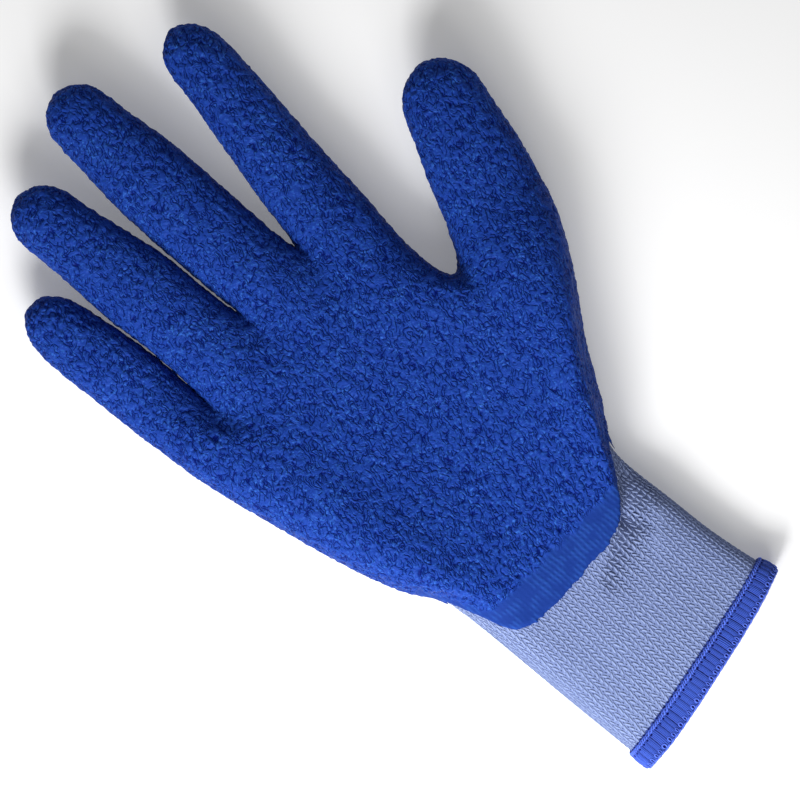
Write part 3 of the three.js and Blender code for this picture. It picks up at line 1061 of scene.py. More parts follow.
@dataclass(frozen=True)
class Crinkle:
    """The wrinkled face of the rubber: short wavy grooves, most of them along the hand, and calm patches.

    It has the size and reach of what bends the grooves, their own size, stretch and leans, how sharp
    they are and how round their shoulders, the size of the patches that they fade in, where a patch
    starts and ends, how deep they stay there, and the weight of the set that crosses the others.
    """

    warp_size: float = 2.2
    warp_reach: float = 1.9
    size: float = 1.2
    stretch: float = 3.0
    leans: tuple[float, ...] = (0.7, 0.25, -0.9)
    sharpness: float = 5.6
    shoulder: float = 0.6
    patch_size: float = 2.1
    patch: tuple[float, float] = (0.37, 0.56)
    shallow: float = 0.22
    crossing: float = 0.34

    def grooves(self, hand: TreeHand, place: Link, lean: float) -> Link:
        """Adds the nodes for one set of grooves, 0 in a groove and 1 between two.

        Args:
            hand: the tree that they go into.
            place: the warped place.
            lean: turn from the hand's length, in radians.

        Returns:
            The height.
        """
        turned = hand.node("ShaderNodeVectorRotate", {"Vector": place, "Angle": lean}, rotation_type="Z_AXIS")
        drawn = hand.vector("MULTIPLY", turned.outputs[0], (1.0, 1 / self.stretch, 1.0))
        waves = hand.noise(drawn, per_size(self.size))
        off = hand.math("ABSOLUTE", hand.math("SUBTRACT", waves, NOISE_MIDDLE))
        risen = hand.math("MINIMUM", hand.math("MULTIPLY", off, self.sharpness), 1.0)
        ridge = hand.math("POWER", risen, self.shoulder)
        patch = hand.noise(turned.outputs[0], per_size(self.patch_size))
        depth = hand.ramp(patch, *self.patch, self.shallow, 1.0)
        return hand.math("MULTIPLY_ADD", hand.math("SUBTRACT", ridge, 1.0), depth, 1.0)

    def height(self, hand: TreeHand, place: Link) -> Link:
        """Adds the nodes for the wrinkles' height, 0 in a groove and 1 on a ridge.

        Args:
            hand: the tree that they go into.
            place: the place on the smooth skin.

        Returns:
            The height.
        """
        bent = hand.centred(hand.noise(place, per_size(self.warp_size), 1.0, "Color"))
        warped = hand.vector("ADD", place, hand.scaled(bent, self.warp_reach * MM))
        first, second, third = (self.grooves(hand, warped, lean) for lean in self.leans)
        crossed = hand.math("MULTIPLY_ADD", third, self.crossing, 1 - self.crossing)
        return hand.math("MULTIPLY", hand.math("MINIMUM", first, second), crossed)


CRINKLE = Crinkle()


@dataclass(frozen=True, kw_only=True)
class Finish:
    """What every material shares: its own tree and its principled shader."""

    name: str
    roughness: float = 0.85
    specular: float = 0.2
    sheen: float = 0.0
    bump_depth: float = 0.1
    bump_strength: float = 1.0

    def build(self) -> bpy.types.Material:
        """Makes the material.

        Returns:
            The material, with its tree.
        """
        material = bpy.data.materials.new(self.name)
        material.use_nodes = True
        tree = material.node_tree
        tree.nodes.clear()
        hand = TreeHand(tree)
        shader = hand.node("ShaderNodeBsdfPrincipled", {
            "Roughness": self.roughness,
            "Specular IOR Level": self.specular,
            "Sheen Weight": self.sheen,
        })
        hand.node("ShaderNodeOutputMaterial", {"Surface": shader.outputs["BSDF"]})
        self.dress(hand, shader)
        return material

    def dress(self, hand: TreeHand, shader: bpy.types.Node) -> None:
        """Links the finish's own colour, roughness and relief to the shader."""
        raise NotImplementedError

    def emboss(self, hand: TreeHand, shader: bpy.types.Node, height: Link) -> None:
        """Turns a height into the shader's normal.

        Args:
            hand: the material's tree.
            shader: its shader.
            height: the height, 1 of which is the finish's full depth.
        """
        bump = hand.node("ShaderNodeBump", {
            "Strength": self.bump_strength, "Distance": self.bump_depth * MM, "Height": height,
        })
        hand.link(bump.outputs["Normal"], shader, "Normal")


@dataclass(frozen=True, kw_only=True)
class LatexFinish(Finish):
    """Crinkled blue rubber with a smooth margin.

    Its colours are those of the ridges, the painted shade in the grooves, the pale painted highlights on
    some ridges, and the margin.
    The liner's wales and courses show through the margin, bent and faded by noises of their own.
    """

    ridge: tuple[float, ...] = (0.011, 0.044, 0.29, 1)
    # Painted shade: the groove colour, laid on the wrinkles below groove_height
    groove: tuple[float, ...] = (0.0002, 0.004, 0.105, 1)
    # Painted highlight: the pale colour of specks on some ridges; it also lightens the liner's stitches that
    # show through the margin
    highlight_pale: tuple[float, ...] = (0.035, 0.14, 0.54, 1)
    margin: tuple[float, ...] = (0.009, 0.034, 0.215, 1)
    margin_roughness: float = 0.62
    groove_height: float = 0.6
    patch_size: float = 7.0
    patch: tuple[float, ...] = (0.35, 0.7, 0.3, 0.8)
    speck_size: float = 0.8
    speck: tuple[float, float] = (0.5, 0.72)
    speck_relief: float = 0.16
    wale: float = 1.45
    course: float = 1.74
    bend_size: float = 5.0
    bend: float = 5.0
    fade_size: float = 4.0
    fade: tuple[float, ...] = (0.35, 0.65, 0.25, 1.0)
    mottle: tuple[float, ...] = (0.1, 0.9, 0.0, 0.24)
    margin_relief: float = 0.34
    bump_depth: float = 0.42

    def dress(self, hand: TreeHand, shader: bpy.types.Node) -> None:
        """Paints shade into the grooves and pale highlight specks in some patches, and keeps the margin plain.

        Args:
            hand: the material's tree.
            shader: its shader.
        """
        rest = hand.attribute("rest", "Vector")
        crinkled = hand.attribute("crinkled")
        height = CRINKLE.height(hand, rest)
        patches = hand.noise(rest, per_size(self.patch_size), 2.0)
        fine = hand.noise(rest, per_size(self.speck_size), 2.0)
        # Painted highlights: pale specks on the ridges, in some patches
        highlight_specks = hand.math("MULTIPLY", hand.ramp(patches, *self.patch), hand.ramp(fine, *self.speck))
        paler = hand.mix(highlight_specks, self.ridge, self.highlight_pale)
        # Painted shade: the low parts of the wrinkles take the groove colour
        shade = hand.mix(hand.ramp(height, 0.0, self.groove_height), self.groove, paler)
        stitches = self.show_through(hand, rest)
        mottled = hand.mix(hand.ramp(stitches, *self.mottle), self.margin, self.highlight_pale)
        hand.link(hand.mix(crinkled, mottled, shade), shader, "Base Color")
        dull = hand.ramp(crinkled, 0.0, 1.0, self.margin_roughness, self.roughness)
        hand.link(dull, shader, "Roughness")
        relief = hand.math("MULTIPLY", height, crinkled)
        fading = hand.math("MULTIPLY_ADD", crinkled, -self.margin_relief, self.margin_relief)
        plain = hand.math("MULTIPLY", stitches, fading)
        level = hand.math("MULTIPLY_ADD", fine, self.speck_relief, hand.math("ADD", relief, plain))
        self.emboss(hand, shader, level)

    def show_through(self, hand: TreeHand, rest: Link) -> Link:
        """Adds the nodes for the liner's faint stitches, which show through the thin margin.

        Args:
            hand: the material's tree.
            rest: the place on the smooth skin.

        Returns:
            How strongly they show, from 0 to 1.
        """
        bent = hand.math("MULTIPLY", hand.noise(rest, per_size(self.bend_size), 2.0), self.bend)
        waves = []
        for link, pitch in zip(hand.split(rest), (self.wale, self.course)):
            turns = hand.math("MULTIPLY_ADD", link, 2 * math.pi / (pitch * MM), bent)
            waves.append(hand.math("SINE", turns))
        wales = hand.math("MULTIPLY_ADD", waves[0], 0.3, 0.5)
        knit = hand.math("MULTIPLY_ADD", hand.math("MULTIPLY", *waves), 0.12, wales)
        faint = hand.ramp(hand.noise(rest, per_size(self.fade_size), 1.0), *self.fade)
        return hand.math("MULTIPLY", knit, faint)


@dataclass(frozen=True)
class SpunYarn:
    """Shared effect of spun yarn: twisted fibres, and painted shade where it dips under its neighbours.

    It has how long the fibres are drawn, how far one stitch's differ from the next's, how high the two
    strands stand, which heights get painted shade and how much, and how dark the darkest stitch is.
    """

    fibre_length: float = 0.8
    change: float = 7.0
    strand_height: float = 0.32
    shading: tuple[float, ...] = (0.05, 0.75, 0.62, 1.0)
    darkest: float = 0.88

    def build(self) -> bpy.types.NodeTree:
        """Makes the group, with colours, twist, fibres and shadow as inputs; shadow is where painted shade
        ends.

        Returns:
            The group's tree, which gives a colour and a height.
        """
        group = NodeGroup(
            "spun_yarn", "ShaderNodeTree",
            {"Light": COLOUR, "Dark": COLOUR, "Twist": NUMBER, "Fibres": NUMBER, "Dip": NUMBER},
            {"Colour": COLOUR, "Height": NUMBER},
        )
        given = group.given
        along, around, _ = group.split(group.node("ShaderNodeUVMap", uv_map=YARN_UV).outputs["UV"])
        lift, tone = group.attribute("lift"), group.attribute("tone")
        slanted = group.math("ADD", group.math("MULTIPLY", along, given["Twist"]), around)
        stretched = group.joined(
            group.math("MULTIPLY", slanted, given["Fibres"]),
            group.math("MULTIPLY", along, self.fibre_length),
            group.math("MULTIPLY", tone, self.change),
        )
        fibres = group.noise(stretched, 1.0, 2.0)
        strands = group.math("SINE", group.math("MULTIPLY", slanted, 4 * math.pi))
        height = group.math("ADD", fibres, group.math("MULTIPLY", strands, self.strand_height))
        # Painted shade: low fibres and the gaps between strands, then the yarn's feet and flanks, darken its
        # colour
        shaded = group.ramp(height, *self.shading)
        lit = group.math("MULTIPLY", group.ramp(lift, 0.0, given["Dip"]), shaded)
        toned = group.math("MULTIPLY", lit, group.ramp(tone, 0.0, 1.0, self.darkest, 1.0, smooth=False))
        return group.close(Colour=group.mix(toned, given["Dark"], given["Light"]), Height=height)


@dataclass(frozen=True, kw_only=True)
class YarnFinish(Finish):
    """Yarn of the liner or thread of the hem; its dark colour is painted shade, which some stitches also lean
    to at random.
    """

    group: bpy.types.NodeTree
    light: tuple[float, ...]
    dark: tuple[float, ...]
    twist: float
    fibres: float
    dip: float = 0.9
    bump_depth: float = 0.06
    bump_strength: float = 0.8

    def dress(self, hand: TreeHand, shader: bpy.types.Node) -> None:
        """Takes colour and fibre relief from the shared yarn group.

        Args:
            hand: the material's tree.
            shader: its shader.
        """
        yarn = hand.node("ShaderNodeGroup", node_tree=self.group)
        for label in ("Light", "Dark", "Twist", "Fibres", "Dip"):
            yarn.inputs[label].default_value = getattr(self, label.lower())
        hand.link(yarn.outputs["Colour"], shader, "Base Color")
        self.emboss(hand, shader, yarn.outputs["Height"])


@dataclass(frozen=True, kw_only=True)
class GroundFinish(Finish):
    """The ground behind stitches: the liner's backing yarns, or the hem's core.

    It has its colours, darker than the yarn on it as painted shade, how many loops lie across the form's
    coordinates and along them, how high they stand, and the size and colour range of the fuzz on them.
    """

    light: tuple[float, ...]
    dark: tuple[float, ...]
    across: float
    along: float
    loop_height: float = 0.3
    fuzz_size: float = 0.6
    shading: tuple[float, float] = (0.2, 0.9)
    roughness: float = 0.95
    specular: float = 0.1
    bump_depth: float = 0.25
    bump_strength: float = 0.7

    def dress(self, hand: TreeHand, shader: bpy.types.Node) -> None:
        """Draws rows of small loops by two waves on the form's own coordinates.

        Args:
            hand: the material's tree.
            shader: its shader.
        """
        parts = hand.split(hand.node("ShaderNodeUVMap", uv_map=FORM_UV).outputs["UV"])
        place = hand.node("ShaderNodeTexCoord").outputs["Object"]
        waves = [
            hand.math("SINE", hand.math("MULTIPLY", link, count * 2 * math.pi))
            for link, count in zip(parts, (self.across, self.along))
        ]
        loops = hand.math("MULTIPLY", hand.math("MULTIPLY", *waves), self.loop_height)
        height = hand.math("ADD", loops, hand.noise(place, per_size(self.fuzz_size), 3.0))
        # Painted shade: the low parts of the loops take the dark colour; the fuzz varies it at random
        hand.link(hand.mix(hand.ramp(height, *self.shading), self.dark, self.light), shader, "Base Color")
        self.emboss(hand, shader, height)


# Steps from a quad's first vertex to each of its corners, along and round
QUAD_STEPS = ((0, 0), (1, 0), (1, 1), (0, 1))


@dataclass(frozen=True)
class Rod:
    """A short length of yarn.

    It has its centre line, half its width and height, how its ends thin out, and how much of its painted
    light it keeps, which is 0 for a dark rod that paints the shade in a hole between yarns.
    """

    path: tuple[tuple[float, float, float], ...]
    half_width: float
    half_height: float
    sides: int
    end_scale: float = 0.55
    light: float = 1.0

    def rings(self) -> np.ndarray:
        """Points round each station of the rod.

        Returns:
            For each station, its points in millimetres.
        """
        path = np.array(self.path)
        along = np.gradient(path, axis=0)
        along /= np.linalg.norm(along, axis=1, keepdims=True)
        side = np.cross(along, (0.0, 0.0, 1.0))
        side /= np.linalg.norm(side, axis=1, keepdims=True)
        up = np.cross(side, along)
        scale = np.ones(len(path))
        scale[[0, -1]] = self.end_scale
        turns = (np.arange(self.sides) + 0.5) * 2 * math.pi / self.sides
        wide = side[:, None] * (np.cos(turns) * self.half_width)[None, :, None]
        high = up[:, None] * (np.sin(turns) * self.half_height)[None, :, None]
        return path[:, None] + (wide + high) * scale[:, None, None]


def motif_mesh(name: str, rods: Sequence[Rod], unit: tuple[float, float]) -> bpy.types.Mesh:
    """One motif of a pattern, flat and in units of the pattern's pitch, its height in metres.

    Args:
        name: name of its mesh.
        rods: the lengths of yarn in it, in millimetres.
        unit: millimetres of one pitch across and along.

    Returns:
        The mesh, with yarn coordinates and a lift for painted shade, 0 at its foot and 1 at its crest.
    """
    points, faces, uvs, crests = [], [], [], []
    for rod in rods:
        rings = rod.rings()
        middles = np.array(rod.path)[:, None, 2]
        crest = np.clip((rings[:, :, 2] - middles) / rod.half_height, 0, 1)
        # Painted shade: the flanks keep only part of the crest's light
        crests.extend((rod.light * (FLANK_SHADE + (1 - FLANK_SHADE) * crest)).ravel())
        stations, sides = rings.shape[:2]
        first = len(points)
        points.extend(rings.reshape(-1, 3).tolist())
        reach = np.concatenate([[0], np.cumsum(np.linalg.norm(np.diff(np.array(rod.path), axis=0), axis=1))])
        for station in range(stations - 1):
            for side in range(sides):
                spots = [(station + a, side + b) for a, b in QUAD_STEPS]
                faces.append(tuple(first + a * sides + b % sides for a, b in spots))
                uvs.extend((reach[a], b / sides) for a, b in spots)
        last = first + (stations - 1) * sides
        faces.append(tuple(range(first, first + sides)))
        faces.append(tuple(reversed(range(last, last + sides))))
        uvs.extend([(0.0, 0.0)] * (2 * sides))
    flat = np.array(points)
    heights = flat[:, 2]
    mesh = bpy.data.meshes.new(name)
    mesh.from_pydata(flat / (*unit, 1 / MM), [], faces)
    mesh.uv_layers.new(name=YARN_UV).data.foreach_set("uv", np.array(uvs, np.float32).ravel())
    lift = (heights - heights.min()) / (heights.max() - heights.min())
    add_values(mesh, "lift", lift * np.array(crests))
    return mesh


class LayingTree:
    """The node tree that lays a motif in courses round a form."""

    INPUTS = {
        "Motif": GEOMETRY, "Form": "NodeSocketObject", "Around": WHOLE, "Columns": WHOLE, "Courses": WHOLE,
        "First course": NUMBER, "Course pitch": NUMBER, "Drift": NUMBER, "Coat limit": NUMBER,
        "Mouth limit": NUMBER, "Wobble": NUMBER, "Wander": VECTOR, "Seed": WHOLE, "Floor": NUMBER,
        "Closed": SWITCH, "Material": "NodeSocketMaterial",
    }

    # How quickly the threads' straying changes, for each pitch
    STRAY_SCALE = 0.55

    # A motif is kept where the form reaches this much past it, in courses, both ways
    REACH = 0.6

    def __init__(self) -> None:
        """Builds the tree once, for every pattern."""
        self.group = NodeGroup("lay_in_courses", "GeometryNodeTree", self.INPUTS, {"Stitches": GEOMETRY})
        self.form = self.group.node(
            "GeometryNodeObjectInfo", {"Object": self.group.given["Form"]}, transform_space="ORIGINAL"
        ).outputs["Geometry"]
        self.tree = self.build()

    def sampled(self, place: Link, value: Link, data_type: str = "FLOAT") -> bpy.types.bpy_prop_collection:
        """Reads a value of the form at a place on it.

        Args:
            place: the place in the form's coordinates.
            value: what is read.
            data_type: its type.

        Returns:
            The value, and whether the form has that place.
        """
        places = self.group.named(FORM_UV, "FLOAT_VECTOR")
        return self.group.node("GeometryNodeSampleUVSurface", {
            "Mesh": self.form, "Value": value, "UV Map": places, "Sample UV": place,
        }, data_type=data_type).outputs

    def on_form(self, place: Link) -> Link:
        """Whether the form has a place."""
        return self.sampled(place, self.group.named("coat"))["Is Valid"]

    def both(self, first: Link, second: Link) -> Link:
        """Whether two things hold."""
        return self.group.node("FunctionNodeBooleanMath", {0: first, 1: second}, operation="AND").outputs[0]

    def form_place(self, column: Link, course: Link) -> Link:
        """Adds the nodes for a place on the form, a little off where it should be.

        Args:
            column: its column, in pitches.
            course: its course, in pitches.

        Returns:
            The place in the form's coordinates.
        """
        hand, given = self.group, self.group.given
        turn = hand.math("MULTIPLY", hand.math("DIVIDE", column, given["Around"]), 2 * math.pi)
        radius = hand.math("DIVIDE", given["Around"], 2 * math.pi)
        wound, aside = (hand.math("MULTIPLY", hand.math(name, turn), radius) for name in ("COSINE", "SINE"))
        spot = hand.joined(wound, aside, course)
        strayed = hand.centred(hand.noise(spot, self.STRAY_SCALE, 1.0, "Color"))
        off = hand.split(hand.vector("MULTIPLY", strayed, given["Wander"]))
        column = hand.math("ADD", off[0], column)
        course = hand.math("ADD", off[1], course)
        round_ = hand.math("FRACT", hand.math("DIVIDE", column, given["Around"]))
        along = hand.math("MULTIPLY_ADD", course, given["Course pitch"], given["First course"])
        closed = hand.node("GeometryNodeSwitch", {
            "Switch": given["Closed"], "False": along, "True": hand.math("FRACT", along),
        }, input_type="FLOAT").outputs[0]
        return hand.joined(round_, closed)

    def build(self) -> bpy.types.NodeTree:
        """Adds a grid of places, motifs on those that the form has, and bends each onto the form.

        Returns:
            The finished tree.
        """
        hand, given = self.group, self.group.given
        widths = [hand.math("SUBTRACT", given[name], 1.0) for name in ("Columns", "Courses")]
        grid = hand.node("GeometryNodeMeshGrid", {
            "Size X": widths[0], "Size Y": widths[1],
            "Vertices X": given["Columns"], "Vertices Y": given["Courses"],
        }).outputs["Mesh"]
        spot = hand.split(hand.position())
        column, course = (hand.math("MULTIPLY_ADD", width, 0.5, link) for width, link in zip(widths, spot))
        drifted = hand.math("MULTIPLY_ADD", course, given["Drift"], hand.math("ADD", column, 0.5))
        points = hand.node("GeometryNodeSetPosition", {
            "Geometry": grid, "Position": hand.joined(drifted, course),
        }).outputs[0]

        column, course, _ = hand.split(hand.position())
        home = self.form_place(column, course)
        kept = self.on_form(home)
        for step in (-self.REACH, self.REACH):
            kept = self.both(kept, self.on_form(self.form_place(column, hand.math("ADD", course, step))))
        for name in ("Coat", "Mouth"):
            value = self.sampled(home, hand.named(name.lower()))[0]
            limits = {"A": value, "B": given[f"{name} limit"]}
            kept = self.both(kept, hand.node("FunctionNodeCompare", limits, operation="LESS_THAN").outputs[0])
        dropped = hand.node("FunctionNodeBooleanMath", {0: kept}, operation="NOT").outputs[0]
        points = hand.node("GeometryNodeDeleteGeometry", {"Geometry": points, "Selection": dropped}).outputs[0]
        points = self.stored(points, "home", home, "FLOAT_VECTOR")
        points = self.stored(points, "tone", self.random(0.0, 1.0, 0), "FLOAT")

        small, large = (hand.math(name, 1.0, given["Wobble"]) for name in ("SUBTRACT", "ADD"))
        sizes = (self.random(small, high, k) for k, high in enumerate((large, large, 1.0), 1))
        size = hand.joined(*sizes)
        laid = hand.node("GeometryNodeInstanceOnPoints", {
            "Points": points, "Instance": given["Motif"], "Scale": size,
        }).outputs[0]
        laid = hand.node("GeometryNodeRealizeInstances", {"Geometry": laid}).outputs[0]
        laid = hand.node("GeometryNodeSetPosition", {"Geometry": laid, "Position": self.bent()}).outputs[0]
        return hand.close(Stitches=hand.solid(laid))

    def random(self, low: object, high: object, offset: int) -> Link:
        """Adds the nodes for a number at each point.

        Args:
            low: its lowest value.
            high: its highest value.
            offset: what is added to the tree's seed.

        Returns:
            The number.
        """
        seed = self.group.math("ADD", self.group.given["Seed"], float(offset))
        limits = {"Min": low, "Max": high, "Seed": seed}
        made = self.group.node("FunctionNodeRandomValue", limits, data_type="FLOAT")
        return next(item for item in made.outputs if item.enabled)

    def stored(self, geometry: Link, name: str, value: Link, data_type: str) -> Link:
        """Stores an attribute on the points of some geometry.

        Args:
            geometry: the geometry.
            name: the attribute's name.
            value: its value.
            data_type: its type.

        Returns:
            The geometry with it.
        """
        return self.group.node("GeometryNodeStoreNamedAttribute", {
            "Geometry": geometry, "Name": name, "Value": value,
        }, data_type=data_type, domain="POINT").outputs[0]

    def bent(self) -> Link:
        """Adds the nodes for where a motif's vertex comes to lie on the form, never under the floor.

        Returns:
            The vertex's new place.
        """
        hand = self.group
        column, course, rise = hand.split(hand.position())
        own = self.form_place(column, course)
        place = hand.node("GeometryNodeSwitch", {
            "Switch": self.on_form(own), "False": hand.named("home", "FLOAT_VECTOR"), "True": own,
        }, input_type="VECTOR").outputs[0]
        ground = self.sampled(place, hand.position(), "FLOAT_VECTOR")[0]
        up = self.sampled(place, hand.named("up", "FLOAT_VECTOR"), "FLOAT_VECTOR")[0]
        x, y, z = hand.split(hand.vector("ADD", ground, hand.scaled(hand.vector("NORMALIZE", up), rise)))
        return hand.joined(x, y, hand.math("MAXIMUM", z, hand.given["Floor"]))


@dataclass
class Pattern:
    """Motifs laid in courses on a form: stitches of the liner, or threads of the hem."""

    name: str
    form: bpy.types.Object
    rods: Sequence[Rod]
    around: int
    courses: int
    unit: tuple[float, float]
    material: bpy.types.Material
    slot: Slot
    first_course: float = 0.0
    course_pitch: float = 1.0
    drift: float = 0.0
    coat_limit: float = 2.0
    mouth_limit: float = 2.0
    wobble: float = 0.1
    wander: tuple[float, float, float] = (0.4, 0.7, 0.0)
    seed: int = 1
    closed: bool = False

    def build(self, tree: bpy.types.NodeTree) -> bpy.types.Object:
        """Lays the pattern.

        Args:
            tree: the laying tree.

        Returns:
            The finished piece.
        """
        piece = node_object(self.name, motif_mesh(self.name, self.rods, self.unit))
        set_modifier(piece, tree, {
            "Form": self.form, "Around": self.around, "Columns": self.around, "Courses": self.courses,
            "First course": self.first_course, "Course pitch": self.course_pitch, "Drift": self.drift,
            "Coat limit": self.coat_limit, "Mouth limit": self.mouth_limit, "Wobble": self.wobble,
            "Wander": self.wander, "Seed": self.seed, "Floor": FLOOR, "Closed": self.closed,
            "Material": self.material,
        })
        settled(piece)
        place_on_body(piece)
        return piece


def wall_mesh(name: str, faces: Sequence[Sequence[int]], outer: np.ndarray,
              inner: np.ndarray) -> bpy.types.Mesh:
    """A closed wall between two layers of the same faces.

    Args:
        name: name of the mesh.
        faces: faces of the outer layer, seen from outside.
        outer: points of the outer layer.
        inner: points of the inner layer.

    Returns:
        The mesh, whose points are the used outer ones and then the used inner ones.
    """
    used = sorted({corner for face in faces for corner in face})
    index = {corner: k for k, corner in enumerate(used)}
    count = len(used)
    layers = [tuple(index[corner] for corner in face) for face in faces]
    rims = {}
    for face in layers:
        for k, corner in enumerate(face):
            following = face[(k + 1) % len(face)]
            if rims.pop((following, corner), None) is None:
                rims[corner, following] = (following, corner, corner + count, following + count)
    hidden = [tuple(corner + count for corner in reversed(face)) for face in layers]
    mesh = bpy.data.meshes.new(name)
    points = np.concatenate([outer[used], inner[used]])
    mesh.from_pydata(points.tolist(), [], [*layers, *hidden, *rims.values()])
    return mesh


def wavering(points: np.ndarray, size: float, octaves: int = 1) -> np.ndarray:
    """A smooth noise from about -1 to 1 at each point, with features of so many millimetres."""
    scaled = points / (size * MM)
    return np.array([noise.fractal(Vector(point), 1.0, 2.0, octaves) for point in scaled])


def smooth_step(value: np.ndarray, low: float | np.ndarray, high: float | np.ndarray) -> np.ndarray:
    """0 below the low value, 1 above the high one, and smooth between them."""
    share = np.clip((value - low) / (high - low), 0, 1)
    return share * share * (3 - 2 * share)


# Where the coat value hardly changes, its edge is taken to be this many millimetres away
LONGEST_INSET = 100.0
SHORTEST_EDGE = 1e-6

# The edge is ragged where the coat value is nearer to 0 than this
EDGE_BAND = 0.95


@dataclass
class RubberSkin:
    """The dipped rubber skin: crinkled face, smooth margin and a thin ragged edge.

    It has the depths of its edge and its margin below the outer surface, and over what width the edge
    thickens; how far the edge and the start of the crinkle stray, and in what sizes; the height of the
    wrinkles, which of their heights lies on the outer surface, and how high the low lumps stand and
    how wide they are; over what distances from the crinkle's line and from the edge, and over what
    upward shares of the surface's direction, the crinkle sets in; and how much of its inside is kept.
    """

    finish: Finish
    form: SmoothForm
    edge_depth: float = 0.82
    margin_depth: float = 0.42
    edge_width: float = 1.2
    ragged: float = 0.8
    ragged_size: float = 1.3
    wander: float = 0.9
    wander_size: float = 9.0
    crinkle_stray: float = 1.9
    stray_size: float = 3.2
    relief: float = 0.42
    relief_level: float = 0.6
    lumps: float = 2.6
    lump_size: float = 1.9
    line_fade: tuple[float, float] = (-1.1, 1.3)
    edge_fade: tuple[float, float] = (0.2, 1.3)
    palm_fade: tuple[float, float] = (-0.3, 0.2)
    kept_share: float = 0.72

    def build(self) -> bpy.types.Object:
        """Builds the skin and raises its wrinkles.

        Returns:
            The finished piece.
        """
        value, steep = self.edge_value()
        points, value = self.drawn_to_edge(value)
        faces = self.covered_faces(value)
        inset = value / np.maximum(steep, 1 / LONGEST_INSET)
        wrinkled = self.wrinkled_share(inset)
        thickened = smooth_step(inset, 0, self.edge_width)
        edge = self.edge_depth + (self.margin_depth - self.edge_depth) * thickened
        depth = (edge * (1 - wrinkled)) * MM
        normals = self.form.normals
        outer = points - normals * depth[:, None]
        inner = points - normals * (COAT_WALL * MM)
        used = sorted({corner for face in faces for corner in face})
        mesh = wall_mesh("rubber_skin", faces, outer, inner)
        hidden = np.zeros(len(used))
        add_values(mesh, "rest", np.concatenate([points[used], points[used]]))
        add_values(mesh, "up", np.concatenate([normals[used], normals[used]]))
        add_values(mesh, "crinkled", np.concatenate([wrinkled[used], hidden]))
        piece = node_object("rubber_skin", mesh)
        group = piece.vertex_groups.new(name="inner")
        group.add(range(len(used), 2 * len(used)), 1.0, "REPLACE")
        thinned = piece.modifiers.new("Thinned", "DECIMATE")
        thinned.ratio = self.kept_share
        thinned.vertex_group = "inner"
        set_modifier(piece, self.relief_tree(), {
            "Relief": self.relief * MM, "Lumps": self.lumps, "Material": self.finish.build(),
        })
        settled(piece)
        place_on_body(piece, ["latex_coating"])
        return piece

    def edge_value(self) -> tuple[np.ndarray, np.ndarray]:
        """Draws a ragged edge on the coat value.

        Returns:
            The coat value, and how steeply it changes per millimetre.
        """
        form = self.form
        steep = np.zeros(len(form.points))
        for k in range(4):
            a, b = form.quads[:, k], form.quads[:, (k + 1) % 4]
            length = np.linalg.norm(form.points[a] - form.points[b], axis=1) / MM
            change = np.abs(form.coat[a] - form.coat[b]) / np.maximum(length, SHORTEST_EDGE)
            np.maximum.at(steep, a, change)
            np.maximum.at(steep, b, change)
        value = form.coat.astype(float)
        near = np.flatnonzero((steep > 0) & (np.abs(value) < EDGE_BAND))
        points = form.points[near]
        aside = self.ragged * wavering(points, self.ragged_size, 2)
        aside += self.wander * wavering(points + 0.5, self.wander_size) * form.normals[near, 2].clip(-1, 0.2)
        value[near] += aside * steep[near]
        return value, steep

    def drawn_to_edge(self, value: np.ndarray) -> tuple[np.ndarray, np.ndarray]:
        """Moves the points nearest to the skin's edge onto it.

        Args:
            value: positive on the skin, negative off it.

        Returns:
            The points, and their values.
        """
        quads = self.form.quads
        pairs = np.concatenate([quads[:, [k, (k + 1) % 4]] for k in range(4)])
        first, second = np.unique(np.sort(pairs, axis=1), axis=0).T
        crossing = value[first] * value[second] < 0
        first, second = first[crossing], second[crossing]
        share = value[first] / (value[first] - value[second])
        nearer = np.where(share < 0.5, first, second)
        other = np.where(share < 0.5, second, first)
        share = np.minimum(share, 1 - share)
        order = np.argsort(-share)
        nearer, other, share = nearer[order], other[order], share[order]
        points = self.form.points.astype(float)
        start = self.form.points
        points[nearer] = start[nearer] + (start[other] - start[nearer]) * share[:, None]
        moved = value.copy()
        moved[nearer] = 0
        return points, moved

    def covered_faces(self, value: np.ndarray) -> list[tuple[int, ...]]:
        """The faces on the skin's side of its edge, where a face cut corner to corner gives a triangle.

        Args:
            value: positive on the skin, 0 on its edge and negative off it.

        Returns:
            Each face's vertices.
        """
        signs = np.sign(value)[self.form.quads]
        above, below = (signs > 0).any(axis=1), (signs < 0).any(axis=1)
        level = ~above & ~below & (self.form.coat[self.form.quads].sum(axis=1) > 0)
        faces = [tuple(quad) for quad in self.form.quads[(above & ~below) | level].tolist()]
        for face in np.flatnonzero(above & below):
            quad = self.form.quads[face].tolist()
            for k in np.flatnonzero(signs[face] > 0):
                faces.append((quad[k - 1], quad[k], quad[(k + 1) % 4]))
        return faces

    def wrinkled_share(self, inset: np.ndarray) -> np.ndarray:
        """How crinkled the face is.

        Args:
            inset: how far each vertex lies inside the skin's edge, in millimetres.

        Returns:
            1 where it is crinkled, and 0 on the smooth margin of the tongue and on the thin edge.
        """
        beyond = CRINKLE_EDGE.beyond(self.form.table_plan())
        near = np.flatnonzero(np.abs(beyond) < 2 * self.crinkle_stray + 0.2)
        beyond[near] += self.crinkle_stray * wavering(self.form.points[near], self.stray_size, 2)
        past = smooth_step(beyond, *self.line_fade)
        on_palm = smooth_step(self.form.normals[:, 2], *self.palm_fade)
        past = past * on_palm + (1 - on_palm)
        return past * smooth_step(inset, *self.edge_fade)

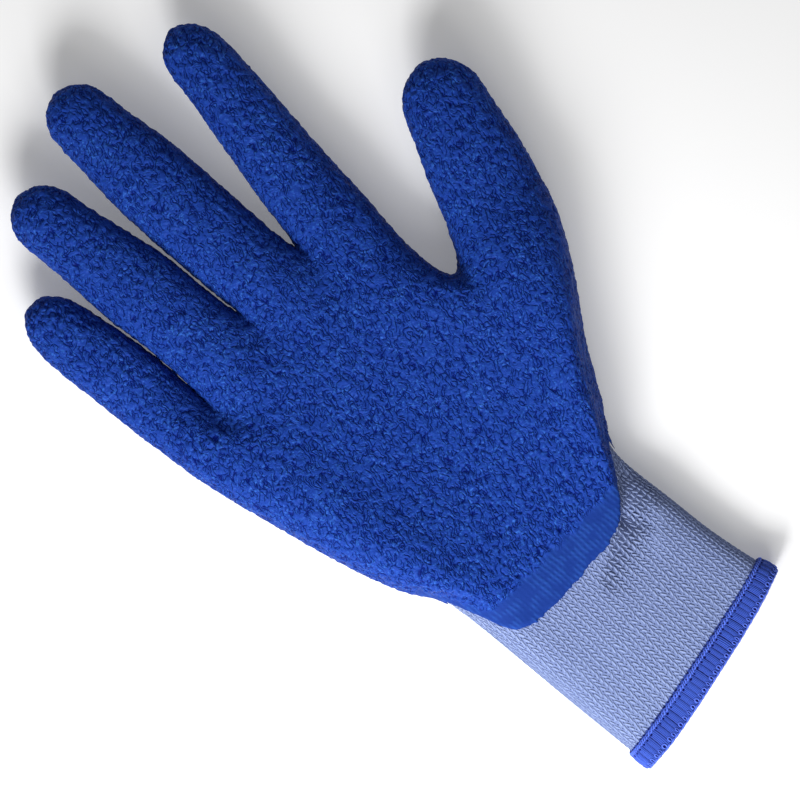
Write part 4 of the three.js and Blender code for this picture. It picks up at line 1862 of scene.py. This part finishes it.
    def relief_tree(self) -> bpy.types.NodeTree:
        """Makes the tree that lifts the crinkled face along the form's own directions.

        Returns:
            The tree.
        """
        hand = NodeGroup("raise_wrinkles", "GeometryNodeTree", {
            "Skin": GEOMETRY, "Relief": NUMBER, "Lumps": NUMBER, "Material": "NodeSocketMaterial",
        }, {"Skin": GEOMETRY})
        rest, up = (hand.named(name, "FLOAT_VECTOR") for name in ("rest", "up"))
        height = hand.math("SUBTRACT", CRINKLE.height(hand, rest), self.relief_level)
        lump = hand.math("SUBTRACT", hand.noise(rest, per_size(self.lump_size), 1.0), NOISE_MIDDLE)
        height = hand.math("MULTIPLY_ADD", lump, hand.given["Lumps"], height)
        height = hand.math("MULTIPLY", height, hand.named("crinkled"))
        lift = hand.math("MULTIPLY", height, hand.given["Relief"])
        skin = hand.node("GeometryNodeSetPosition", {
            "Geometry": hand.given["Skin"], "Offset": hand.scaled(hand.vector("NORMALIZE", up), lift),
        }).outputs[0]
        return hand.close(Skin=hand.solid(skin))


def leg_pair(path: Sequence[tuple[float, float, float]], half_width: float, half_height: float,
             sides: int) -> tuple[Rod, Rod]:
    """The two mirrored legs of a knitted stitch."""
    left = tuple((-x, y, z) for x, y, z in path)
    return (Rod(tuple(path), half_width, half_height, sides), Rod(left, half_width, half_height, sides))


@dataclass
class KnittedLiner:
    """The seamless knitted liner: a closed bag of backing yarn, and the stitches that show on it.

    In millimetres, it has the size of its stitches, where their first courses lie on the cuff and in
    the digits, where the back's last one lies, and how far the others go on past the ribs' end and
    past the tips. The girth of a digit's squarish oval is a little more than that of a round one.
    """

    form: SmoothForm
    fine: SmoothForm
    stitches: bpy.types.Material
    ground: bpy.types.Material
    tree: bpy.types.NodeTree
    rib_columns: int = 52
    rib_pitch: float = 2.9
    rib_course: float = 1.74
    back_pitch: float = 1.92
    back_course: float = 1.5
    rib_drift: float = 0.05
    cuff_start: float = -14.0
    root_start: float = -12.0
    back_end: float = 176.0
    spare: float = 16.0
    oval_girth: float = 1.02
    bed_height: float = 0.5
    under_hem: float = 0.4
    crease_slack: float = 0.35

    def build(self) -> None:
        """Builds the bag and every field of stitches."""
        self.build_bag()
        self.build_cuff()
        self.build_back()
        for digit in (*FINGERS, THUMB):
            self.build_digit(digit)

    def build_bag(self) -> None:
        """The closed wall that the stitches lie on."""
        form = self.form
        faces = form.quads[form.mouth[form.quads].mean(axis=1) < self.under_hem]
        slack = form.creased * self.crease_slack
        outer = form.set_in(YARN_BED + slack, self.bed_height)
        inner = form.set_in(KNIT_DEPTH + KNIT_WALL + slack, KNIT_WALL)
        mesh = wall_mesh("liner_ground", faces.tolist(), outer, inner)
        mesh.materials.append(self.ground)
        piece = node_object("liner_ground", mesh)
        nodes = [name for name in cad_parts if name.startswith("knit_")]
        place_on_body(piece, nodes)

    def rib_motif(self) -> tuple[Rod, ...]:
        """A stitch of the ribbed cuff, its peak to the fingertips.

        Returns:
            Its two legs, and the dark rods that paint the shade in the holes beside them.
        """
        path = (
            (0.34, 0.84, 0.0), (0.52, 0.42, 0.08), (0.67, 0.0, 0.11), (0.81, -0.44, 0.08), (0.94, -0.86, 0.0),
        )
        # Dark rods with no light: painted shade in the holes between the stitches
        hole_shades = (
            Rod(((x, y + 0.3, 0.04), (x, y, 0.04), (x, y - 0.3, 0.04)), 0.2, 0.03, 3, 0.3, 0.0)
            for x, y in ((0.0, -0.5), (self.rib_pitch / 2, 0.45))
        )
        return (*leg_pair(path, 0.32, 0.12, 5), *hole_shades)

    def plain_motif(self) -> tuple[Rod, ...]:
        """A stitch of the plain knit.

        Returns:
            Its two legs.
        """
        wide, long = self.back_pitch, self.back_course
        path = ((0.07 * wide, 0.58 * long, 0.06), (0.23 * wide, 0.0, 0.24), (0.4 * wide, -0.6 * long, 0.04))
        return leg_pair(path, 0.15 * wide, 0.24, 4)

    def build_cuff(self) -> None:
        """Ribs of the cuff, all round and up to the rubber's tongue."""
        bed = self.fine.bed("rib_bed", HAND, YARN_BED, self.bed_height)
        count = round((CUFF_END + self.spare) / self.rib_course)
        self.lay(Pattern(
            "cuff_ribs", bed, self.rib_motif(), self.rib_columns, count, (self.rib_pitch, self.rib_course),
            self.stitches, Slot.KNIT, form_length(self.cuff_start), self.rib_course / FORM_SPAN,
            self.rib_drift, coat_limit=0.2, mouth_limit=0.3, seed=11,
        ))

    def build_back(self) -> None:
        """Plain knit of the back of the hand."""
        bed = self.form.bed("back_bed", HAND, YARN_BED, self.bed_height)
        count = round((self.back_end - CUFF_END) / self.back_course)
        start = form_length(CUFF_END + LayingTree.REACH * self.back_course)
        self.lay(Pattern(
            "back_stitches", bed, self.plain_motif(), 2 * self.rib_columns, count,
            (self.back_pitch, self.back_course), self.stitches, Slot.KNIT, start,
            self.back_course / FORM_SPAN, coat_limit=0.1, mouth_limit=0.0, seed=12,
        ))

    def build_digit(self, digit: Digit) -> None:
        """Lays the plain knit of a digit's back.

        Args:
            digit: the digit.
        """
        name = digit.part.name.lower()
        bed = self.form.bed(f"{name}_bed", (digit.part,), YARN_BED, self.bed_height)
        section = digit.sections[0]
        girth = math.pi * (section.half_width + section.half_thick) * self.oval_girth
        columns = 2 * round(girth / self.back_pitch / 2)
        count = round((digit.reach + self.spare) / self.back_course)
        self.lay(Pattern(
            f"{name}_stitches", bed, self.plain_motif(), columns, count,
            (girth / columns, self.back_course), self.stitches, Slot.KNIT, form_length(self.root_start),
            self.back_course / FORM_SPAN, coat_limit=0.1, seed=20 + int(digit.part),
        ))

    def lay(self, pattern: Pattern) -> None:
        """Lays one field of stitches, then removes its bed."""
        pattern.build(self.tree)
        bpy.data.objects.remove(pattern.form)


@dataclass
class SewnHem:
    """The overlocked hem: a core, and the threads wrapped round it.

    In millimetres, it has how far it stands out on both sides of the wall, the room for the threads on
    its core, the pitch of the wraps and their length round the hem. The loops and the chain lie at
    their own shares of the way round it.
    """

    form: SmoothForm
    threads: bpy.types.Material
    trims: bpy.types.Material
    core: bpy.types.Material
    shade: bpy.types.Material
    tree: bpy.types.NodeTree
    proud: float = 1.3
    inside: float = 0.9
    wrap: float = 0.36
    sides: int = 16
    bundles: int = 81
    bundle_pitch: float = 1.85
    strands: int = 5
    girth: float = 16.4
    trim_girth: float = 17.5
    loop_place: float = 0.385
    chain_place: float = 0.635

    def build(self) -> None:
        """Builds the core and lays the threads round it."""
        core, bed = self.build_core()
        place_on_body(core, ["overlock_hem"])
        laid = (
            ("hem_threads", self.bundle(), self.threads, self.girth, 0.0, 0.05, 31),
            ("hem_loops", self.mouth_loop(), self.trims, self.trim_girth, self.loop_place, 0.1, 32),
            # The holes and the gaps are dark rods: painted shade
            ("hem_holes", self.needle_hole_shade(), self.shade, self.trim_girth, self.loop_place, 0.1, 32),
            ("hem_chain", self.chain_links(), self.trims, self.trim_girth, self.chain_place, 0.1, 34),
            ("hem_gaps", self.chain_gap_shade(), self.shade, self.trim_girth, self.chain_place, 0.1, 34),
        )
        for name, rods, material, girth, place, wobble, seed in laid:
            Pattern(
                name, bed, rods, self.bundles, 1, (self.bundle_pitch, girth), material, Slot.THREAD, place,
                wobble=wobble, wander=HEM_WANDER, seed=seed, closed=True,
            ).build(self.tree)
        bpy.data.objects.remove(bed)

    def row(self, mouth: float) -> tuple[np.ndarray, np.ndarray]:
        """Finds the vertices of the form along one end of the hem.

        Args:
            mouth: the mouth value there.

        Returns:
            The vertices in order round the hem, and their turns.
        """
        form = self.form
        turns = np.zeros(len(form.points))
        hem = form.parts == Part.HEM
        turns[form.quads[hem].ravel()] = form.uvs[hem][:, :, 0].ravel() % 1.0
        corners = np.unique(form.quads[hem])
        ring = corners[np.abs(form.mouth[corners] - mouth) < 0.01]
        ring = ring[np.argsort(turns[ring])]
        return ring, turns[ring]

    def build_core(self) -> tuple[bpy.types.Object, bpy.types.Object]:
        """The closed oval roll, and the bed for its threads.

        Returns:
            The roll, and the same surface with its own coordinates.
        """
        form = self.form
        wall = form.set_in(KNIT_DEPTH + KNIT_WALL / 2, KNIT_WALL / 2)
        end, _ = self.row(1.0)
        top, start_turns = self.row(0.0)
        along = wall[top] - wall[end]
        length = np.linalg.norm(along, axis=1, keepdims=True)
        along = along / length
        half = length / 2
        centre = wall[end] + along * half
        normals = form.normals[end]
        turns = math.pi + np.arange(self.sides) * 2 * math.pi / self.sides
        rings, ups = [], []
        for turn in turns:
            proud = self.proud if math.cos(turn) > 0 else self.inside
            thick = (KNIT_WALL / 2 + proud - self.wrap) * MM
            wide = half - self.wrap * MM
            rings.append(centre + along * (math.sin(turn) * wide) + normals * (math.cos(turn) * thick))
            ups.append(along * (math.sin(turn) * thick) + normals * (math.cos(turn) * wide))
        points = np.stack(rings, axis=1)
        points[:, :, 2] = np.maximum(points[:, :, 2], self.wrap * MM)
        up = np.stack(ups, axis=1)
        up /= np.linalg.norm(up, axis=2, keepdims=True)
        count = len(end)
        faces, places = [], []
        closed = [*start_turns.tolist(), 1.0]
        for k in range(count):
            for side in range(self.sides):
                spots = [(k + a, side + b) for a, b in QUAD_STEPS]
                faces.append(tuple(a % count * self.sides + b % self.sides for a, b in spots))
                places.append([(closed[a], b / self.sides) for a, b in spots])
        pieces = []
        for name in ("hem_core", "hem_bed"):
            mesh = bpy.data.meshes.new(name)
            mesh.from_pydata(points.reshape(-1, 3).tolist(), [], faces)
            mesh.uv_layers.new(name=FORM_UV).data.foreach_set("uv", np.array(places, np.float32).ravel())
            mesh.materials.append(self.core)
            pieces.append(node_object(name, mesh))
        bed = pieces[1].data
        add_values(bed, "up", up.reshape(-1, 3))
        add_values(bed, "coat", np.full(count * self.sides, -1.0))
        add_values(bed, "mouth", np.zeros(count * self.sides))
        return pieces[0], pieces[1]

    def mouth_loop(self) -> tuple[Rod, ...]:
        """A small loop of thread beside each wrap.

        Returns:
            The loop, and the twisted cord that its foot makes at the edge.
        """
        cord = tuple((x, 0.28 * x - 1.15, 0.42 - 0.08 * abs(x)) for x in np.linspace(-1.2, 1.2, 5))
        path = []
        for turn in np.linspace(-0.85, 0.85, 8) * math.pi:
            path.append((0.42 * math.sin(turn) - 0.1, 0.55 * math.cos(turn), 0.5 - 0.1 * math.cos(turn)))
        return (Rod(tuple(path), 0.19, 0.17, 5, end_scale=0.8), Rod(cord, 0.4, 0.2, 6, end_scale=0.5))

    def needle_hole_shade(self) -> tuple[Rod, ...]:
        """A dark rod that paints the shade in the mouth of a needle hole inside its loop."""
        path = tuple((0.4 * x - 0.06, -0.15, 0.4) for x in (-1.0, -0.5, 0.5, 1.0))
        return (Rod(path, 0.4, 0.13, 6, end_scale=0.5),)

    def chain_links(self) -> tuple[Rod, ...]:
        """A link of the chain.

        Returns:
            Its two strands, which cross twice.
        """
        strands = []
        for side in (-1, 1):
            path = []
            for share in np.linspace(-0.56, 0.56, 8):
                turn = 2 * math.pi * share
                aside, up = side * 0.42 * math.sin(turn), side * 0.13 * math.cos(turn)
                path.append((share * self.bundle_pitch, aside, 0.44 + up))
            strands.append(Rod(tuple(path), 0.22, 0.18, 5, end_scale=0.8))
        return tuple(strands)

    def chain_gap_shade(self) -> tuple[Rod, ...]:
        """Dark rods that paint the shade beside a link of the chain.

        Returns:
            The painted shade on both sides of it.
        """
        rods = []
        for side, shift in ((-1, 0.0), (1, 0.5)):
            path = tuple((0.3 * x + shift, side * 0.82, 0.33) for x in (-1.0, -0.4, 0.4, 1.0))
            rods.append(Rod(path, 0.27, 0.12, 5, end_scale=0.4))
        return tuple(rods)

    def bundle(self) -> tuple[Rod, ...]:
        """One wrap of the overlock.

        Returns:
            Its fine threads, side by side, which bulge to the thumb side outside.
        """
        rods = []
        for k in range(self.strands):
            share = (k + 0.5) / self.strands - 0.5
            path = []
            for v in np.linspace(0.03, 0.97, 15):
                outside = max(0.0, math.sin((v - 0.2) / 0.6 * math.pi)) if 0.2 < v < 0.8 else 0.0
                x = share * 0.92 * self.bundle_pitch + 0.5 * outside ** 1.3
                path.append((x, v * self.girth, 0.07 + 0.16 * (1 - (2 * share) ** 2)))
            rods.append(Rod(tuple(path), 0.19, 0.17, 5, end_scale=0.9))
        return tuple(rods)


@dataclass
class Studio:
    """Plain pale floor, soft lamps, and the camera straight above the glove.

    It has the point in the middle of the picture and the picture's width, in metres, the camera's turn
    in degrees, its lens and sensor in millimetres, and the strength of the floor's glow and the sky.
    """

    looks_at: tuple[float, float, float] = (-0.0137, -0.0041, 0.012)
    frame_width: float = 0.2296
    turn: float = -49.4
    lens: float = 180.0
    sensor: float = 36.0
    floor_glow: float = 0.16
    floor_half: float = 2.0
    sky: float = 0.28

    def build(self) -> None:
        """Sets up floor, light and camera."""
        self.build_floor()
        self.build_light()
        self.build_camera()

    def build_floor(self) -> None:
        """A wide pale floor just below the glove."""
        half = self.floor_half
        mesh = bpy.data.meshes.new("floor")
        corners = [(-half, -half, 0), (half, -half, 0), (half, half, 0), (-half, half, 0)]
        mesh.from_pydata(corners, [], [(0, 1, 2, 3)])
        floor = node_object("floor", mesh)
        material = bpy.data.materials.new("floor")
        material.use_nodes = True
        shader = material.node_tree.nodes["Principled BSDF"]
        shader.inputs["Base Color"].default_value = (0.9, 0.9, 0.9, 1)
        shader.inputs["Emission Color"].default_value = (1, 1, 1, 1)
        shader.inputs["Emission Strength"].default_value = self.floor_glow
        shader.inputs["Roughness"].default_value = 0.9
        mesh.materials.append(material)

    def build_light(self) -> None:
        """A soft key from the little finger's side, a wide lamp overhead and a pale sky."""
        world = bpy.data.worlds.new("studio")
        world.use_nodes = True
        background = world.node_tree.nodes["Background"]
        background.inputs["Color"].default_value = (1, 1, 1, 1)
        background.inputs["Strength"].default_value = self.sky
        bpy.context.scene.world = world
        self.lamp("key", (-0.32, -0.17, 0.26), size=0.2, power=2.3)
        self.lamp("fill", (-0.22, -0.30, 0.34), size=0.3, power=1.0)

    @staticmethod
    def lamp(name: str, place: tuple[float, float, float], size: float, power: float) -> None:
        """Adds a square area lamp that faces the glove.

        Args:
            name: its name.
            place: where it hangs, in metres.
            size: its side, in metres.
            power: its power, in watts.
        """
        light = bpy.data.lights.new(name, "AREA")
        light.energy = power
        light.size = size
        lamp = bpy.data.objects.new(name, light)
        lamp.location = place
        lamp.rotation_euler = (-Vector(place)).to_track_quat("-Z", "Y").to_euler()
        lamp.visible_camera = False
        bpy.context.scene.collection.objects.link(lamp)

    def build_camera(self) -> None:
        """Camera with a long lens, turned so that the glove lies across the picture as it should."""
        data = bpy.data.cameras.new("camera")
        data.lens = self.lens
        data.sensor_width = self.sensor
        camera = bpy.data.objects.new("camera", data)
        x, y, z = self.looks_at
        camera.location = (x, y, z + self.frame_width * self.lens / self.sensor)
        camera.rotation_euler = (0, 0, math.radians(self.turn))
        bpy.context.scene.collection.objects.link(camera)
        bpy.context.scene.camera = camera


# How often the net is smoothed for the skin and the ribs, and for the rest
FINE_LEVEL = 4
PLAIN_LEVEL = 3


def main() -> None:
    """Builds the glove and its studio."""
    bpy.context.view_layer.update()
    net = GloveNet()
    fine, plain = (SmoothForm(net, level) for level in (FINE_LEVEL, PLAIN_LEVEL))
    latex = LatexFinish(name="latex", roughness=0.44, specular=0.03)
    RubberSkin(latex, fine).build()

    yarn = SpunYarn().build()
    # The knit's dark colour is painted shade at the stitches' feet, flanks and holes
    knit = YarnFinish(
        name="knit_yarn", group=yarn, light=(0.27, 0.34, 0.575, 1), dark=(0.06, 0.09, 0.22, 1), dip=0.5,
        twist=1.1, fibres=9.0, sheen=0.05,
    )
    ground = GroundFinish(
        name="knit_ground", light=(0.235, 0.3, 0.53, 1), dark=(0.13, 0.17, 0.35, 1), across=104, along=172,
    )
    tree = LayingTree().tree
    KnittedLiner(plain, fine, knit.build(), ground.build(), tree).build()

    # The thread's dark colour is painted shade at the threads' feet and flanks
    thread = YarnFinish(
        name="hem_thread", group=yarn, light=(0.043, 0.11, 0.58, 1), dark=(0.008, 0.012, 0.16, 1), twist=1.6,
        fibres=7.0, sheen=0.1, roughness=0.7,
    )
    # Painted light: a lighter copy of the hem's thread for its loops and chain, which lie on top of the wraps
    trim = YarnFinish(
        name="hem_trim", group=yarn, light=(0.1, 0.2, 0.85, 1), dark=(0.02, 0.03, 0.3, 1), twist=1.6,
        fibres=7.0, sheen=0.1, roughness=0.7,
    )
    core = GroundFinish(
        name="hem_core", light=(0.03, 0.06, 0.35, 1), dark=(0.008, 0.012, 0.12, 1), across=162, along=12,
    )
    # Painted shade: the near-black finish of the rods in the hem's holes and beside its chain
    shade = GroundFinish(
        name="hem_shade", light=(0.004, 0.004, 0.1, 1), dark=(0.002, 0.002, 0.05, 1), across=162, along=12,
    )
    SewnHem(plain, thread.build(), trim.build(), core.build(), shade.build(), tree).build()
    Studio().build()
    bpy.context.scene.view_settings.view_transform = "Standard"


if __name__ == "__main__":
    main()
